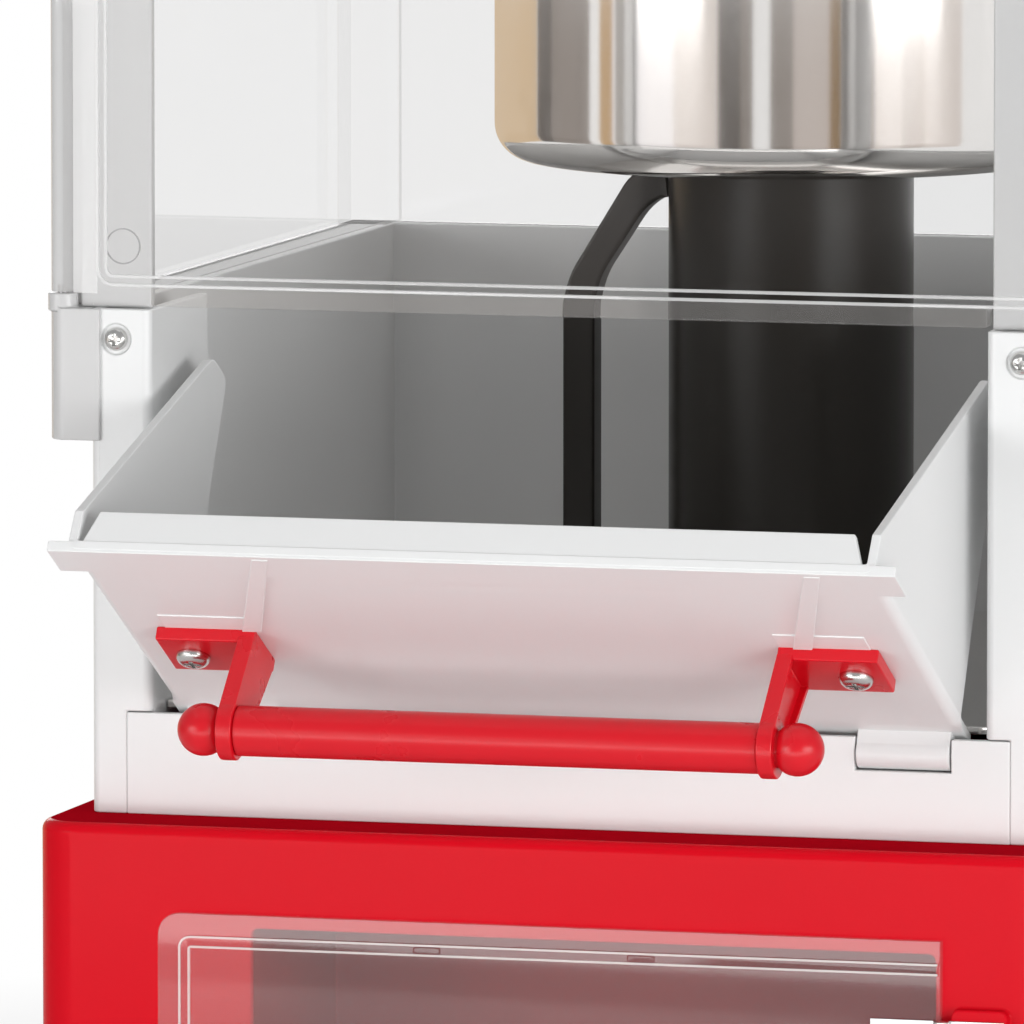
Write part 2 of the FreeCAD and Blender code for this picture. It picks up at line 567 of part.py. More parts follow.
def make_switches():
    """Switch block on the base's right side with two rockers that tip about a level line."""
    plate = box("bezel_plate", (HALF_BASE, f"{HALF_BASE} + bezel_thick"),
                (f"{SWITCH_Y} - bezel_depth / 2", f"{SWITCH_Y} + bezel_depth / 2"),
                (f"{SWITCH_Z} - bezel_height / 2", f"{SWITCH_Z} + bezel_height / 2"))
    plate = rounded("bezel_soft", plate, "bezel_corner", runs_along("x"))
    inset = "(bezel_lap + press_gap)"
    block = box("bezel_block", (f"{HALF_BASE} - base_wall - switch_body", f"{HALF_BASE} + bezel_thick / 2"),
                (f"{SWITCH_Y} - bezel_depth / 2 + {inset}", f"{SWITCH_Y} + bezel_depth / 2 - {inset}"),
                (f"{SWITCH_Z} - bezel_height / 2 + {inset}", f"{SWITCH_Z} + bezel_height / 2 - {inset}"))
    wells = []
    reach = "(rocker_height / 2 + rocker_gap)"
    for label, side in (("heat", 1), ("light", -1)):
        z = f"{SWITCH_Z} + {side} * rocker_pitch / 2"
        wells.append(box(f"rocker_well_{label}",
                         (f"{ROCKER_X} - rocker_body", f"{HALF_BASE} + bezel_thick + cut_over"),
                         (f"{SWITCH_Y} - rocker_depth / 2 - rocker_gap",
                          f"{SWITCH_Y} + rocker_depth / 2 + rocker_gap"),
                         (f"{z} - {reach}", f"{z} + {reach}")))
        blank = box(f"rocker_blank_{label}", ("-rocker_body / 2", "rocker_body / 2"),
                    ("-rocker_depth / 2", "rocker_depth / 2"), ("-rocker_height / 2", "rocker_height / 2"))
        sweep = rod(f"rocker_sweep_{label}", "y", "rocker_height / 2 + rocker_gap / 3",
                    ("0", "-rocker_depth", "0"), "2 * rocker_depth")
        rocker = overlap(f"rocker_{label}", blank, sweep)
        rocker.Placement = Placement(Vector(), Rotation(Vector(0, 1, 0), number("rocker_tilt")))
        place(rocker, ROCKER_X, SWITCH_Y, z)
        node(f"{label}_rocker", rocker)
    node("switch_block", remove("switch_block_whole", join("switch_block_blank", [plate, block]), wells))


def make_lead_inlet():
    """Bush in the rear wall for the power lead."""
    inside = f"{BASE_REAR} - base_wall - gland_length"
    flange = rod("gland_flange_disc", "y", "gland_flange", (GLAND_X, BASE_REAR, GLAND_Z),
                 "gland_flange_thick")
    sleeve = rod("gland_sleeve", "y", "gland_radius - screw_gap", (GLAND_X, inside, GLAND_Z),
                 "gland_length + base_wall + gland_flange_thick / 2")
    bore = rod("gland_bore_tool", "y", "gland_bore", (GLAND_X, f"{inside} - cut_over", GLAND_Z),
               "gland_length + base_wall + gland_flange_thick + 2 * cut_over")
    node("lead_inlet", remove("lead_inlet_whole", join("lead_inlet_blank", [flange, sleeve]), [bore]))


def make_housing():
    """White chamber walls, open in front, with a deep return beside the opening on each side."""
    z = ("base_top", HOUSING_TOP)
    past_z = ("base_top - cut_over", f"{HOUSING_TOP} + cut_over")
    inside = f"({HALF_HOUSING} - housing_wall)"
    bite = f"({HALF_HOUSING} - housing_wall / 2)"
    ledge_z = (f"{FLOOR_UNDER} - ledge_thick", FLOOR_UNDER)
    outer = box("housing_outer", (f"-{HALF_HOUSING}", HALF_HOUSING), (FRONT, REAR), z)
    hollow = box("housing_hollow", (f"-{inside}", inside),
                 (f"{FRONT} + housing_wall", f"{REAR} - housing_wall"), past_z)
    mouth = box("housing_mouth", (f"-{HALF_OPENING}", HALF_OPENING),
                (f"{FRONT} - cut_over", f"{FRONT} + housing_wall + cut_over"), past_z)
    made = [remove("housing_walls", outer, [hollow, mouth])]
    for label, side in SIDES.items():
        made.append(box(f"housing_return_{label}",
                        mirrored(side, HALF_OPENING, f"{HALF_OPENING} + housing_wall"),
                        (FRONT, f"{FRONT} + pillar_return"), z))
        made.append(box(f"housing_ledge_{label}", mirrored(side, f"{inside} - ledge_width", bite),
                        (f"{FRONT} + pillar_return + floor_gap", f"{REAR} - housing_wall / 2"), ledge_z))
    made.append(box("housing_ledge_back", (f"-{bite}", bite),
                    (f"{REAR} - housing_wall - ledge_width", f"{REAR} - housing_wall / 2"), ledge_z))
    blank = rounded("housing_outer_soft", join("housing_blank", made), "housing_edge",
                    stands_at(HALF_HOUSING, FRONT))
    blank = rounded("housing_inner_soft", blank, "housing_edge", stands_at(HALF_OPENING, FRONT))
    half_seat = f"({HALF_OPENING} + fascia_lap + fascia_gap)"
    tools = [box("housing_fascia_seat", (f"-{half_seat}", half_seat),
                 (f"{FRONT} - cut_over", f"{FRONT} + fascia_thick + fascia_gap"),
                 ("base_top - cut_over", f"{FASCIA_TOP} + fascia_gap"))]
    for label, (x, seat, z) in housing_screw_seats().items():
        tools.append(rod(f"housing_recess_{label}", "y", "recess_radius", (x, f"{FRONT} - cut_over", z),
                         "recess_depth + cut_over"))
        tools.append(rod(f"housing_hole_{label}", "y", "screw_radius + screw_gap", (x, FRONT, z),
                         "housing_wall + cut_over"))
    node("chamber_housing", remove("housing_whole", blank, tools))


def housing_screw_seats():
    """Seat points of the two screws in the housing's front, at the bottom of their recesses."""
    x = f"({HALF_HOUSING} - housing_screw_inset)"
    return {label: (f"{side} * {x}", f"({FRONT} + recess_depth)", f"{HOUSING_TOP} - housing_screw_drop")
            for label, side in SIDES.items()}


def make_housing_screws():
    """Domed screws in the housing's front, each in a round recess."""
    screws = [domed_screw(f"housing_screw_{label}", seat, "housing_head_radius", "housing_screw_length")
              for label, seat in housing_screw_seats().items()]
    node("housing_screws", group("housing_screw_set", screws))


def make_fascia():
    """Front strip below the serving door, notched for the door's knuckles and bossed for its pins."""
    half = f"({HALF_OPENING} + fascia_lap)"
    strip = box("fascia_strip", (f"-{half}", half), (FRONT, f"{FRONT} + fascia_thick"),
                ("base_top", FASCIA_TOP))
    near = f"({KNUCKLE_IN} - notch_side_gap)"
    far = f"({KNUCKLE_OUT} + notch_side_gap)"
    pin_span = (f"{near} - door_pin_reach", f"{far} + door_pin_reach")
    pin_length = f"{far} - {near} + 2 * door_pin_reach"
    bosses = []
    notches = []
    holes = []
    pins = []
    for label, side in SIDES.items():
        for end, span in (("near", (pin_span[0], near)), ("far", (far, pin_span[1]))):
            bosses.append(rod(f"fascia_boss_{label}_{end}", "x", "pin_boss_radius",
                              (mirrored(side, *span)[0], DOOR_Y, DOOR_Z), "door_pin_reach"))
        notches.append(box(f"fascia_notch_{label}", mirrored(side, near, far),
                           (f"{FRONT} - cut_over", f"{FRONT} + fascia_thick + cut_over"),
                           (f"{DOOR_Z} - knuckle_radius - notch_below", f"{FASCIA_TOP} + cut_over")))
        start = mirrored(side, *pin_span)[0]
        holes.append(rod(f"fascia_pin_hole_{label}", "x", "door_pin_radius + press_gap",
                         (f"{start} - cut_over", DOOR_Y, DOOR_Z), f"{pin_length} + 2 * cut_over"))
        pins.append(rod(f"door_pin_{label}", "x", "door_pin_radius", (start, DOOR_Y, DOOR_Z), pin_length))
    shave = box("fascia_shave", (f"-{half}", half), (f"{FRONT} - pin_boss_radius", FRONT),
                ("base_top", f"{FASCIA_TOP} + pin_boss_radius"))
    cleared = remove("fascia_cleared", strip, notches)
    node("front_fascia", remove("fascia_whole", join("fascia_blank", [cleared, *bosses]), [shave, *holes]))
    node("serving_door_pins", group("door_pin_set", pins))


def make_floor():
    """Steel floor of the chamber on the housing's ledges, narrowed between the returns at the front."""
    half_wide = f"({HALF_HOUSING} - housing_wall - floor_gap)"
    half_narrow = f"({HALF_OPENING} - floor_gap)"
    z = (FLOOR_UNDER, FLOOR_TOP)
    step = f"({FRONT} + pillar_return + floor_gap)"
    wide = box("floor_wide", (f"-{half_wide}", half_wide), (step, f"{REAR} - housing_wall - floor_gap"), z)
    narrow = box("floor_narrow", (f"-{half_narrow}", half_narrow),
                 (f"{DOOR_Y} + {DOOR_BACK} + floor_front_gap", f"{step} + cut_over"), z)
    holes = [rod(f"floor_hole_{index}", "z", "foot_screw_radius", (x, y, f"{FLOOR_UNDER} - cut_over"),
                 "floor_thick + 2 * cut_over") for index, (x, y) in enumerate(foot_screw_points())]
    node("chamber_floor", remove("floor_whole", join("floor_blank", [wide, narrow]), holes))


def make_collar():
    """Skirt round the housing, lapped over its front corners, with the front window's lower pivot bush."""
    low = f"{HOUSING_TOP} - collar_height"
    nose = f"({FRONT} - collar_proud)"
    past_z = (f"{low} - cut_over", f"{HOUSING_TOP} + cut_over")
    half_inner = f"({HALF_HOUSING} + collar_gap)"
    half_mouth = f"({half_inner} - collar_lap)"
    outer = box("collar_outer", (f"-{HALF_COLLAR}", HALF_COLLAR), (nose, BASE_REAR), (low, HOUSING_TOP))
    outer = rounded("collar_nosed", outer, "collar_nose", stands_at(HALF_COLLAR, nose))
    inner = box("collar_inner", (f"-{half_inner}", half_inner), (FRONT, f"{REAR} + collar_gap"), past_z)
    mouth = box("collar_mouth", (f"-{half_mouth}", half_mouth), (f"{nose} - cut_over", f"{FRONT} + cut_over"),
                past_z)
    bush = rod("collar_bush", "z", "bush_radius", (PIVOT_X, PIVOT_Y, f"{HOUSING_TOP} - cut_over"),
               "bush_height + cut_over")
    hole = rod("collar_pivot_hole", "z", "pivot_radius + press_gap",
               (PIVOT_X, PIVOT_Y, f"{HOUSING_TOP} - pivot_length / 2"),
               "pivot_length / 2 + bush_height + cut_over")
    skirt = remove("collar_skirt", outer, [inner, mouth])
    node("cabinet_collar", remove("collar_whole", join("collar_blank", [skirt, bush]), [hole]))


def hang(item):
    """Tip a serving-door piece, modelled closed about the hinge line, to the open position."""
    item.Placement = Placement(Vector(), Rotation(Vector(1, 0, 0), number("door_tilt")))
    place(item, "0", DOOR_Y, DOOR_Z)
    return item


def make_serving_door():
    """Serving door: front panel with a flange and lip on top, two side wings and two hinge knuckles."""
    half_flange = f"({HALF_OPENING} - flange_side)"
    half_lip = f"({HALF_OPENING} - lip_side)"
    lip_back = f"{DOOR_BACK} + lip_depth"
    lip_end = "flange_top - lip_fall"
    wing = [(DOOR_MIDDLE, "wing_bottom"), ("wing_depth", "wing_bottom"), ("wing_depth", "wing_heel"),
            (lip_back, lip_end), (DOOR_MIDDLE, "flange_top")]
    lip = [(DOOR_MIDDLE, "flange_top"), (lip_back, lip_end), (lip_back, f"{lip_end} - lip_thick"),
           (DOOR_MIDDLE, "flange_top - lip_thick")]
    made = [
        box("door_panel", (f"-{HALF_DOOR}", HALF_DOOR), ("door_face", DOOR_BACK),
            ("-door_below", "flange_top")),
        box("door_flange", (f"-{half_flange}", half_flange), ("door_face", DOOR_BACK),
            ("flange_bottom", "flange_top")),
        box("door_field", ("-field_width / 2", "field_width / 2"), ("door_face - field_raise", DOOR_MIDDLE),
            ("field_bottom", "field_top")),
        outline("door_lip", "YZ_Plane", lip, f"2 * {half_lip}", f"-{half_lip}")]
    tools = []
    for label, side in SIDES.items():
        rib_middle = f"({HALF_DOOR} - door_rib_inset)"
        low = mirrored(side, f"{HALF_DOOR} - wing_thick", HALF_DOOR)[0]
        start, end = mirrored(side, KNUCKLE_IN, KNUCKLE_OUT)
        made.append(outline(f"door_wing_{label}", "YZ_Plane", wing, "wing_thick", low))
        made.append(box(f"door_rib_{label}",
                        mirrored(side, f"{rib_middle} - door_rib_width / 2",
                                 f"{rib_middle} + door_rib_width / 2"),
                        ("door_face - door_rib_raise", DOOR_MIDDLE), ("bracket_top", "flange_bottom")))
        made.append(rod(f"door_knuckle_{label}", "x", "knuckle_radius", (start, "0", "0"), "knuckle_length"))
        made.append(box(f"door_web_{label}", (start, end), ("knuckle_radius / 3", DOOR_MIDDLE),
                        ("-knuckle_web", "knuckle_web")))
        tools.append(rod(f"door_bore_{label}", "x", "door_pin_radius + door_pin_fit",
                         (f"{start} - cut_over", "0", "0"),
                         "knuckle_length + 2 * cut_over"))
        tools.append(rod(f"door_screw_hole_{label}", "y", "screw_radius + screw_gap",
                         (f"{side} * {HANDLE_SCREW_X}", "door_face - cut_over", "handle_screw_up"),
                         "door_thick + 2 * cut_over"))
    node("serving_door", hang(remove("door_whole", join("door_blank", made), tools)))


def make_handle():
    """Pull handle of the serving door: two brackets, a round bar between them, end balls and screws."""
    face = "(door_face - bracket_plate)"
    root = f"{face} + bracket_plate / 2"
    arm = [(root, "bracket_bottom"), ("-bar_out", "bar_up - ring_radius"),
           ("-bar_out", "bar_up + ring_radius"), (root, "bracket_top")]
    socket_end = f"({ARM_IN} + spigot_length + press_gap)"
    balls = []
    screws = []
    for label, side in SIDES.items():
        low = mirrored(side, ARM_IN, ARM_OUT)[0]
        screw_x = f"{side} * {HANDLE_SCREW_X}"
        made = [box(f"bracket_plate_{label}", mirrored(side, ARM_IN, f"{ARM_OUT} + bracket_reach"),
                    (face, "door_face"),
                    ("bracket_bottom", "bracket_top")),
                outline(f"bracket_arm_{label}", "YZ_Plane", arm, "arm_thick", low),
                rod(f"bracket_ring_{label}", "x", "ring_radius", (low, "-bar_out", "bar_up"), "arm_thick")]
        tools = [rod(f"bracket_bore_{label}", "x", "spigot_radius + press_gap",
                     (f"{low} - cut_over", "-bar_out", "bar_up"), "arm_thick + 2 * cut_over"),
                 rod(f"bracket_hole_{label}", "y", "screw_radius + screw_gap",
                     (screw_x, f"{face} - cut_over", "handle_screw_up"), "bracket_plate + 2 * cut_over")]
        bracket = remove(f"bracket_{label}", join(f"bracket_blank_{label}", made), tools)
        node(f"handle_bracket_{label}", hang(bracket))
        middle = (f"{side} * ({ARM_OUT} + ball_offset)", "-bar_out", "bar_up")
        whole_ball = ball(f"ball_{label}", "ball_radius", middle, "x")
        flat = box(f"ball_flat_{label}", mirrored(side, f"{ARM_OUT} - 2 * ball_radius", ARM_OUT),
                   ("-bar_out - 2 * ball_radius", "-bar_out + 2 * ball_radius"),
                   ("bar_up - 2 * ball_radius", "bar_up + 2 * ball_radius"))
        socket = rod(f"ball_socket_{label}", "x", "spigot_radius + press_gap",
                     (mirrored(side, ARM_IN, socket_end)[0], "-bar_out", "bar_up"),
                     f"{socket_end} - {ARM_IN}")
        balls.append(remove(f"end_ball_{label}", whole_ball, [flat, socket]))
        screws.append(domed_screw(f"handle_screw_{label}", (screw_x, face, "handle_screw_up"),
                                  "handle_head_radius",
                                  "bracket_plate + door_thick + handle_screw_tail"))
    grip = rod("bar_grip", "x", "bar_radius", (f"-{ARM_IN}", "-bar_out", "bar_up"), f"2 * {ARM_IN}")
    spigots = rod("bar_spigots", "x", "spigot_radius", (f"-{ARM_IN} - spigot_length", "-bar_out", "bar_up"),
                  f"2 * ({ARM_IN} + spigot_length)")
    node("handle_bar", hang(join("bar_whole", [grip, spigots])))
    node("handle_end_balls", hang(group("end_ball_set", balls)))
    node("handle_screws", hang(group("handle_screw_set", screws)))


def make_pillars():
    """Two front pillars, each with a broad cover behind the window, and two square rear posts."""
    z = (HOUSING_TOP, CABINET_TOP)
    front = (f"{FRONT} + pillar_back", f"{FRONT} + pillar_back + pillar_depth")
    cover = (f"{FRONT} + cover_back", f"{FRONT} + cover_back + cover_thick")
    web = (f"{FRONT} + cover_back + cover_thick / 2", f"{FRONT} + pillar_back + pillar_depth / 2")
    rear = (f"{BASE_REAR} - rear_post", BASE_REAR)
    for label, side in SIDES.items():
        face = mirrored(side, f"{HALF_COLLAR} - pillar_face", HALF_COLLAR)
        cover_face = mirrored(side, f"{HALF_COLLAR} - cover_face", f"{HALF_COLLAR} - cover_side")
        web_face = mirrored(side, f"{HALF_COLLAR} - pillar_face", f"{HALF_COLLAR} - cover_side")
        made = [box(f"front_block_{label}", face, front, z),
                box(f"front_cover_{label}", cover_face, cover, z),
                box(f"front_web_{label}", web_face, web, z)]
        node(f"front_pillar_{label}", join(f"front_pillar_whole_{label}", made))
        node(f"rear_post_{label}",
             box(f"rear_block_{label}", mirrored(side, f"{HALF_COLLAR} - rear_post", HALF_COLLAR), rear, z))


def make_panes():
    """Clear side panes and back panel, seated on the collar."""
    z = (HOUSING_TOP, f"{CABINET_TOP} - pane_gap")
    y = (f"{FRONT} + pillar_back + pillar_depth + pane_gap", f"{BASE_REAR} - rear_post - pane_gap")
    for label, side in SIDES.items():
        x = mirrored(side, f"{HALF_COLLAR} - pane_inset - pane_thick", f"{HALF_COLLAR} - pane_inset")
        node(f"side_pane_{label}", box(f"side_sheet_{label}", x, y, z))
    half = f"({HALF_COLLAR} - rear_post - pane_gap)"
    node("back_panel", box("back_sheet", (f"-{half}", half),
                           (f"{BASE_REAR} - pane_inset - pane_thick", f"{BASE_REAR} - pane_inset"), z))


def make_window():
    """Clear front window: a barrel on its left edge, a bead all round, a thick rim between the pillars."""
    back = f"{FRONT} + window_thick"
    half_rim = f"({HALF_COLLAR} - cover_face - rim_end_gap)"
    pane = box("window_pane", (PIVOT_X, WINDOW_RIGHT), (FRONT, back), (WINDOW_LOW, WINDOW_HIGH))
    rim = box("window_rim_bar", (f"-{half_rim}", half_rim), (FRONT, f"{back} + window_rim_depth"),
              (WINDOW_LOW, f"{WINDOW_LOW} + window_rim"))
    barrel = rod("window_barrel", "z", "barrel_radius", (PIVOT_X, PIVOT_Y, WINDOW_LOW),
                 f"{WINDOW_HIGH} - {WINDOW_LOW}")
    left = f"{PIVOT_X} + barrel_radius + bead_inset"
    frames = []
    for label, inset, extra in (("outer", "0", "0"), ("inner", "bead_width", "cut_over")):
        blank = box(f"bead_blank_{label}", (f"{left} + {inset}", f"{WINDOW_RIGHT} - bead_inset - {inset}"),
                    (f"{FRONT} - bead_raise - {extra}", f"{FRONT} + window_thick / 2 + {extra}"),
                    (f"{WINDOW_LOW} + window_rim + {inset}", f"{WINDOW_HIGH} - bead_inset - {inset}"))
        frames.append(rounded(f"bead_{label}", blank, f"bead_corner - {inset}", runs_along("y")))
    bead = remove("window_bead", frames[0], [frames[1]])
    reach = "(bush_radius + bush_gap)"
    tools = [box("window_notch", (f"{PIVOT_X} - {reach}", f"{PIVOT_X} + {reach}"),
                 (f"{PIVOT_Y} - {reach}", f"{PIVOT_Y} + {reach}"),
                 (f"{WINDOW_LOW} - cut_over", f"{HOUSING_TOP} + bush_height + pane_gap"))]
    for label, start in (("low", f"{WINDOW_LOW} - cut_over"), ("high", f"{WINDOW_HIGH} - pivot_length")):
        tools.append(rod(f"window_bore_{label}", "z", "pivot_radius + pivot_fit", (PIVOT_X, PIVOT_Y, start),
                         "pivot_length + cut_over"))
    x, face, z = WINDOW_KNOB
    tools.append(rod("window_knob_hole", "y", "screw_radius + press_gap", (x, f"{face} - 2 * cut_over", z),
                     "window_thick + 4 * cut_over"))
    node("front_window", remove("window_whole", join("window_blank", [pane, rim, barrel, bead]), tools))
    pins = [rod("pivot_pin_low", "z", "pivot_radius",
                (PIVOT_X, PIVOT_Y, f"{HOUSING_TOP} - pivot_length / 2"), "pivot_length"),
            rod("pivot_pin_high", "z", "pivot_radius",
                (PIVOT_X, PIVOT_Y, f"{CABINET_TOP} - pivot_length / 2"), "pivot_length")]
    node("window_pivot_pins", group("pivot_pin_set", pins))
    node("window_knob", knob("window_knob_piece", WINDOW_KNOB, "window_knob_radius", "window_neck_radius",
                             "screw_radius",
                             ("window_knob_length", "window_neck_length", "window_thick")))


def make_top():
    """Top frame on the pillars and the ceiling sheet that lies on it."""
    outer = box("frame_outer", (f"-{HALF_COLLAR}", HALF_COLLAR), (FRONT, BASE_REAR), (CABINET_TOP, FRAME_TOP))
    outer = rounded("frame_corners", outer, "roof_corner - roof_overhang", runs_along("z"))
    half = f"({HALF_COLLAR} - frame_width)"
    inner = box("frame_inner", (f"-{half}", half), (f"{FRONT} + frame_width", f"{BASE_REAR} - frame_width"),
                (f"{CABINET_TOP} - cut_over", f"{FRAME_TOP} + cut_over"))
    hole = rod("frame_pivot_hole", "z", "pivot_radius + press_gap",
               (PIVOT_X, PIVOT_Y, f"{CABINET_TOP} - cut_over"),
               "pivot_length / 2 + cut_over")
    node("top_frame", remove("frame_whole", outer, [inner, hole]))
    half = f"({HALF_COLLAR} - ceiling_ledge)"
    node("ceiling_sheet", box("ceiling_plate", (f"-{half}", half),
                              (f"{FRONT} + ceiling_ledge", f"{BASE_REAR} - ceiling_ledge"),
                              (FRAME_TOP, f"{FRAME_TOP} + ceiling_thick")))


def make_roof():
    """Red roof cap with a rounded crown, lapped over the top frame."""
    low = f"{FRAME_TOP} - roof_lap"
    wall = "(roof_overhang - roof_gap)"
    caps = []
    for label, reach, bottom, height, round_by in (
            ("outer", "roof_overhang", low, "roof_height", "0"),
            ("hollow", "roof_gap", f"{low} - cut_over", f"roof_height - {wall}", wall)):
        top = f"{low} + {height}"
        cap = box(f"roof_{label}", (f"-{HALF_COLLAR} - {reach}", f"{HALF_COLLAR} + {reach}"),
                  (f"{FRONT} - {reach}", f"{BASE_REAR} + {reach}"), (bottom, top))
        cap = rounded(f"roof_{label}_corners", cap, f"roof_corner - {round_by}", runs_along("z"))
        caps.append(rounded(f"roof_{label}_crown", cap, f"roof_crown - {round_by}", lies_at("z", top)))
    node("roof_cap", remove("roof_whole", caps[0], [caps[1]]))


def make_lamp():
    """Lamp under the ceiling: a round holder and its bulb."""
    x = f"-{HALF_COLLAR} + lamp_inset"
    y = f"{FRONT} + lamp_setback"
    low = f"{FRAME_TOP} - lamp_holder_height"
    node("lamp_holder", rod("lamp_cup", "z", "lamp_holder_radius", (x, y, low), "lamp_holder_height"))
    neck = rod("bulb_stem", "z", "bulb_neck", (x, y, f"{low} - bulb_neck_length"), "bulb_neck_length")
    glass = ball("bulb_glass", "bulb_radius", (x, y, f"{low} - bulb_neck_length - bulb_drop"))
    node("lamp_bulb", join("bulb_whole", [neck, glass]))


def kettle_rod(name, radius, start, length):
    """A round bar on the kettle's upright axis."""
    return rod(name, "z", radius, ("kettle_x", KETTLE_Y, start), length)


def foot_screw_points():
    """The pedestal foot's three screw places, a third of a turn apart."""
    return [(f"kettle_x + foot_screw_circle * cos({turn} deg)",
             f"{KETTLE_Y} + foot_screw_circle * sin({turn} deg)")
            for turn in (90, 210, 330)]


def make_pedestal():
    """Black column on the chamber floor with a shelf for the gear motor, and its three screws."""
    column = kettle_rod("pedestal_column", "pedestal_radius", FLOOR_TOP, "pedestal_height")
    foot = kettle_rod("pedestal_foot_disc", "pedestal_foot", FLOOR_TOP, "pedestal_foot_thick")
    hollow = kettle_rod("pedestal_hollow", "pedestal_radius - pedestal_wall", f"{FLOOR_TOP} - cut_over",
                        "pedestal_height + 2 * cut_over")
    shelf = kettle_rod("pedestal_shelf_disc", "pedestal_radius - pedestal_wall / 2", SHELF, "shelf_thick")
    eye = kettle_rod("pedestal_eye", "shelf_eye", f"{SHELF} - cut_over", "shelf_thick + 2 * cut_over")
    holes = []
    screws = []
    foot_top = f"{FLOOR_TOP} + pedestal_foot_thick"
    for index, (x, y) in enumerate(foot_screw_points()):
        holes.append(rod(f"foot_hole_{index}", "z", "foot_screw_radius", (x, y, f"{FLOOR_TOP} - cut_over"),
                         "pedestal_foot_thick + 2 * cut_over"))
        head = rod(f"foot_head_{index}", "z", "foot_screw_head", (x, y, foot_top), "foot_screw_rise")
        shank = rod(f"foot_shank_{index}", "z", "foot_screw_radius - press_gap",
                    (x, y, f"{FLOOR_UNDER} - foot_screw_tail"),
                    "foot_screw_tail + floor_thick + pedestal_foot_thick + foot_screw_rise / 2")
        screws.append(join(f"foot_screw_{index}", [head, shank]))
    tube = remove("pedestal_tube", join("pedestal_solid", [column, foot]), [hollow])
    node("kettle_pedestal", remove("pedestal_whole", join("pedestal_blank", [tube, shelf]), [eye, *holes]))
    node("pedestal_screws", group("foot_screw_set", screws))


def make_conduit():
    """Square wiring conduit that leaves the pedestal below the kettle and bends down to the floor."""
    inner = "kettle_x - pedestal_radius - conduit_gap"
    outer = f"{inner} - conduit_reach"
    top = f"{KETTLE_LOW} - conduit_below"
    bend = f"{top} - conduit_drop"
    shape = [(inner, top), (f"{inner} - conduit_width", top), (outer, bend), (outer, FLOOR_TOP),
             (f"{outer} + conduit_width", FLOOR_TOP), (f"{outer} + conduit_width", bend),
             (f"{inner} - conduit_width / 2", f"{top} - conduit_width"), (inner, f"{top} - conduit_width")]
    node("wiring_conduit", outline("conduit_plate", "XZ_Plane", shape, "conduit_width",
                                   f"-({KETTLE_Y} + conduit_width / 2)"))


def make_drive():
    """Gear motor under the shelf, its shaft, the heater ring and the thermostat under the kettle."""
    gearbox_low = f"({SHELF} - gearbox_height)"
    shaft_low = f"({SHELF} - gearbox_bore)"
    can = kettle_rod("gearbox_can", "gearbox_radius", gearbox_low, "gearbox_height")
    bore = kettle_rod("gearbox_bore_tool", "shaft_radius + shaft_fit", shaft_low, "gearbox_bore + cut_over")
    node("gearbox", remove("gearbox_whole", can, [bore]))
    node("stir_motor", kettle_rod("motor_can", "motor_radius", f"{gearbox_low} - motor_height",
                                  "motor_height"))
    node("stir_shaft", kettle_rod("shaft_rod", "shaft_radius", shaft_low,
                                  f"{TUBE_TOP} + stir_gap + stir_hub_bore - {shaft_low}"))
    under = f"{KETTLE_LOW} - heater_gap"
    node("heater_ring", ring("heater_loop", "heater_radius", "heater_wire",
                             ("kettle_x", KETTLE_Y, f"{under} - heater_wire")))
    between = "(heater_radius - heater_wire + tube_radius) / 2"
    node("thermostat", rod("thermostat_can", "z", "thermostat_radius",
                           (f"kettle_x + {between}", KETTLE_Y, f"{under} - thermostat_height"),
                           "thermostat_height"))


def make_kettle():
    """Steel kettle with a rolled rim and a centre tube for the stirring shaft."""
    floor = f"{KETTLE_LOW} + kettle_wall"
    outer = kettle_rod("kettle_outer", "kettle_radius", KETTLE_LOW, "kettle_height")
    outer = rounded("kettle_outer_edge", outer, "kettle_edge", lies_at("z", KETTLE_LOW))
    inner = kettle_rod("kettle_inner", "kettle_radius - kettle_wall", floor, "kettle_height")
    inner = rounded("kettle_inner_edge", inner, "kettle_edge - kettle_wall", lies_at("z", floor))
    rim = ring("kettle_rim", "kettle_radius - kettle_wall / 2", "rim_radius",
               ("kettle_x", KETTLE_Y, KETTLE_TOP))
    tube = kettle_rod("kettle_tube", "tube_radius", KETTLE_LOW, "tube_height")
    bore = kettle_rod("kettle_bore", "tube_radius - tube_wall", f"{KETTLE_LOW} - cut_over",
                      "tube_height + 2 * cut_over")
    pot = remove("kettle_pot", outer, [inner])
    node("kettle", remove("kettle_whole", join("kettle_blank", [pot, rim, tube]), [bore]))


def make_stirrer():
    """Stirrer: a cap on the shaft and two legs whose feet sweep the kettle's bottom."""
    hub_low = f"({TUBE_TOP} + stir_gap)"
    hub_top = f"({hub_low} + stir_hub_height)"
    foot_low = f"({KETTLE_LOW} + kettle_wall + stir_floor_gap)"
    leg_out = "(stir_hub_radius + stir_arm_thick)"
    y = (f"{KETTLE_Y} - stir_arm_width / 2", f"{KETTLE_Y} + stir_arm_width / 2")
    made = [kettle_rod("stir_hub", "stir_hub_radius", hub_low, "stir_hub_height")]
    for label, side in SIDES.items():
        for piece, low, high, z in (
                ("shoulder", "stir_hub_radius / 2", leg_out, (f"{hub_top} - stir_arm_thick", hub_top)),
                ("leg", "stir_hub_radius", leg_out, (foot_low, hub_top)),
                ("foot", "stir_hub_radius", "stir_arm_reach", (foot_low, f"{foot_low} + stir_arm_thick"))):
            x = offset_pair("kettle_x", mirrored(side, low, high))
            made.append(box(f"stir_{piece}_{label}", x, y, z))
    socket = kettle_rod("stir_socket", "shaft_radius + shaft_fit", f"{hub_low} - cut_over",
                        "stir_hub_bore + cut_over")
    node("stirrer", remove("stirrer_whole", join("stirrer_blank", made), [socket]))


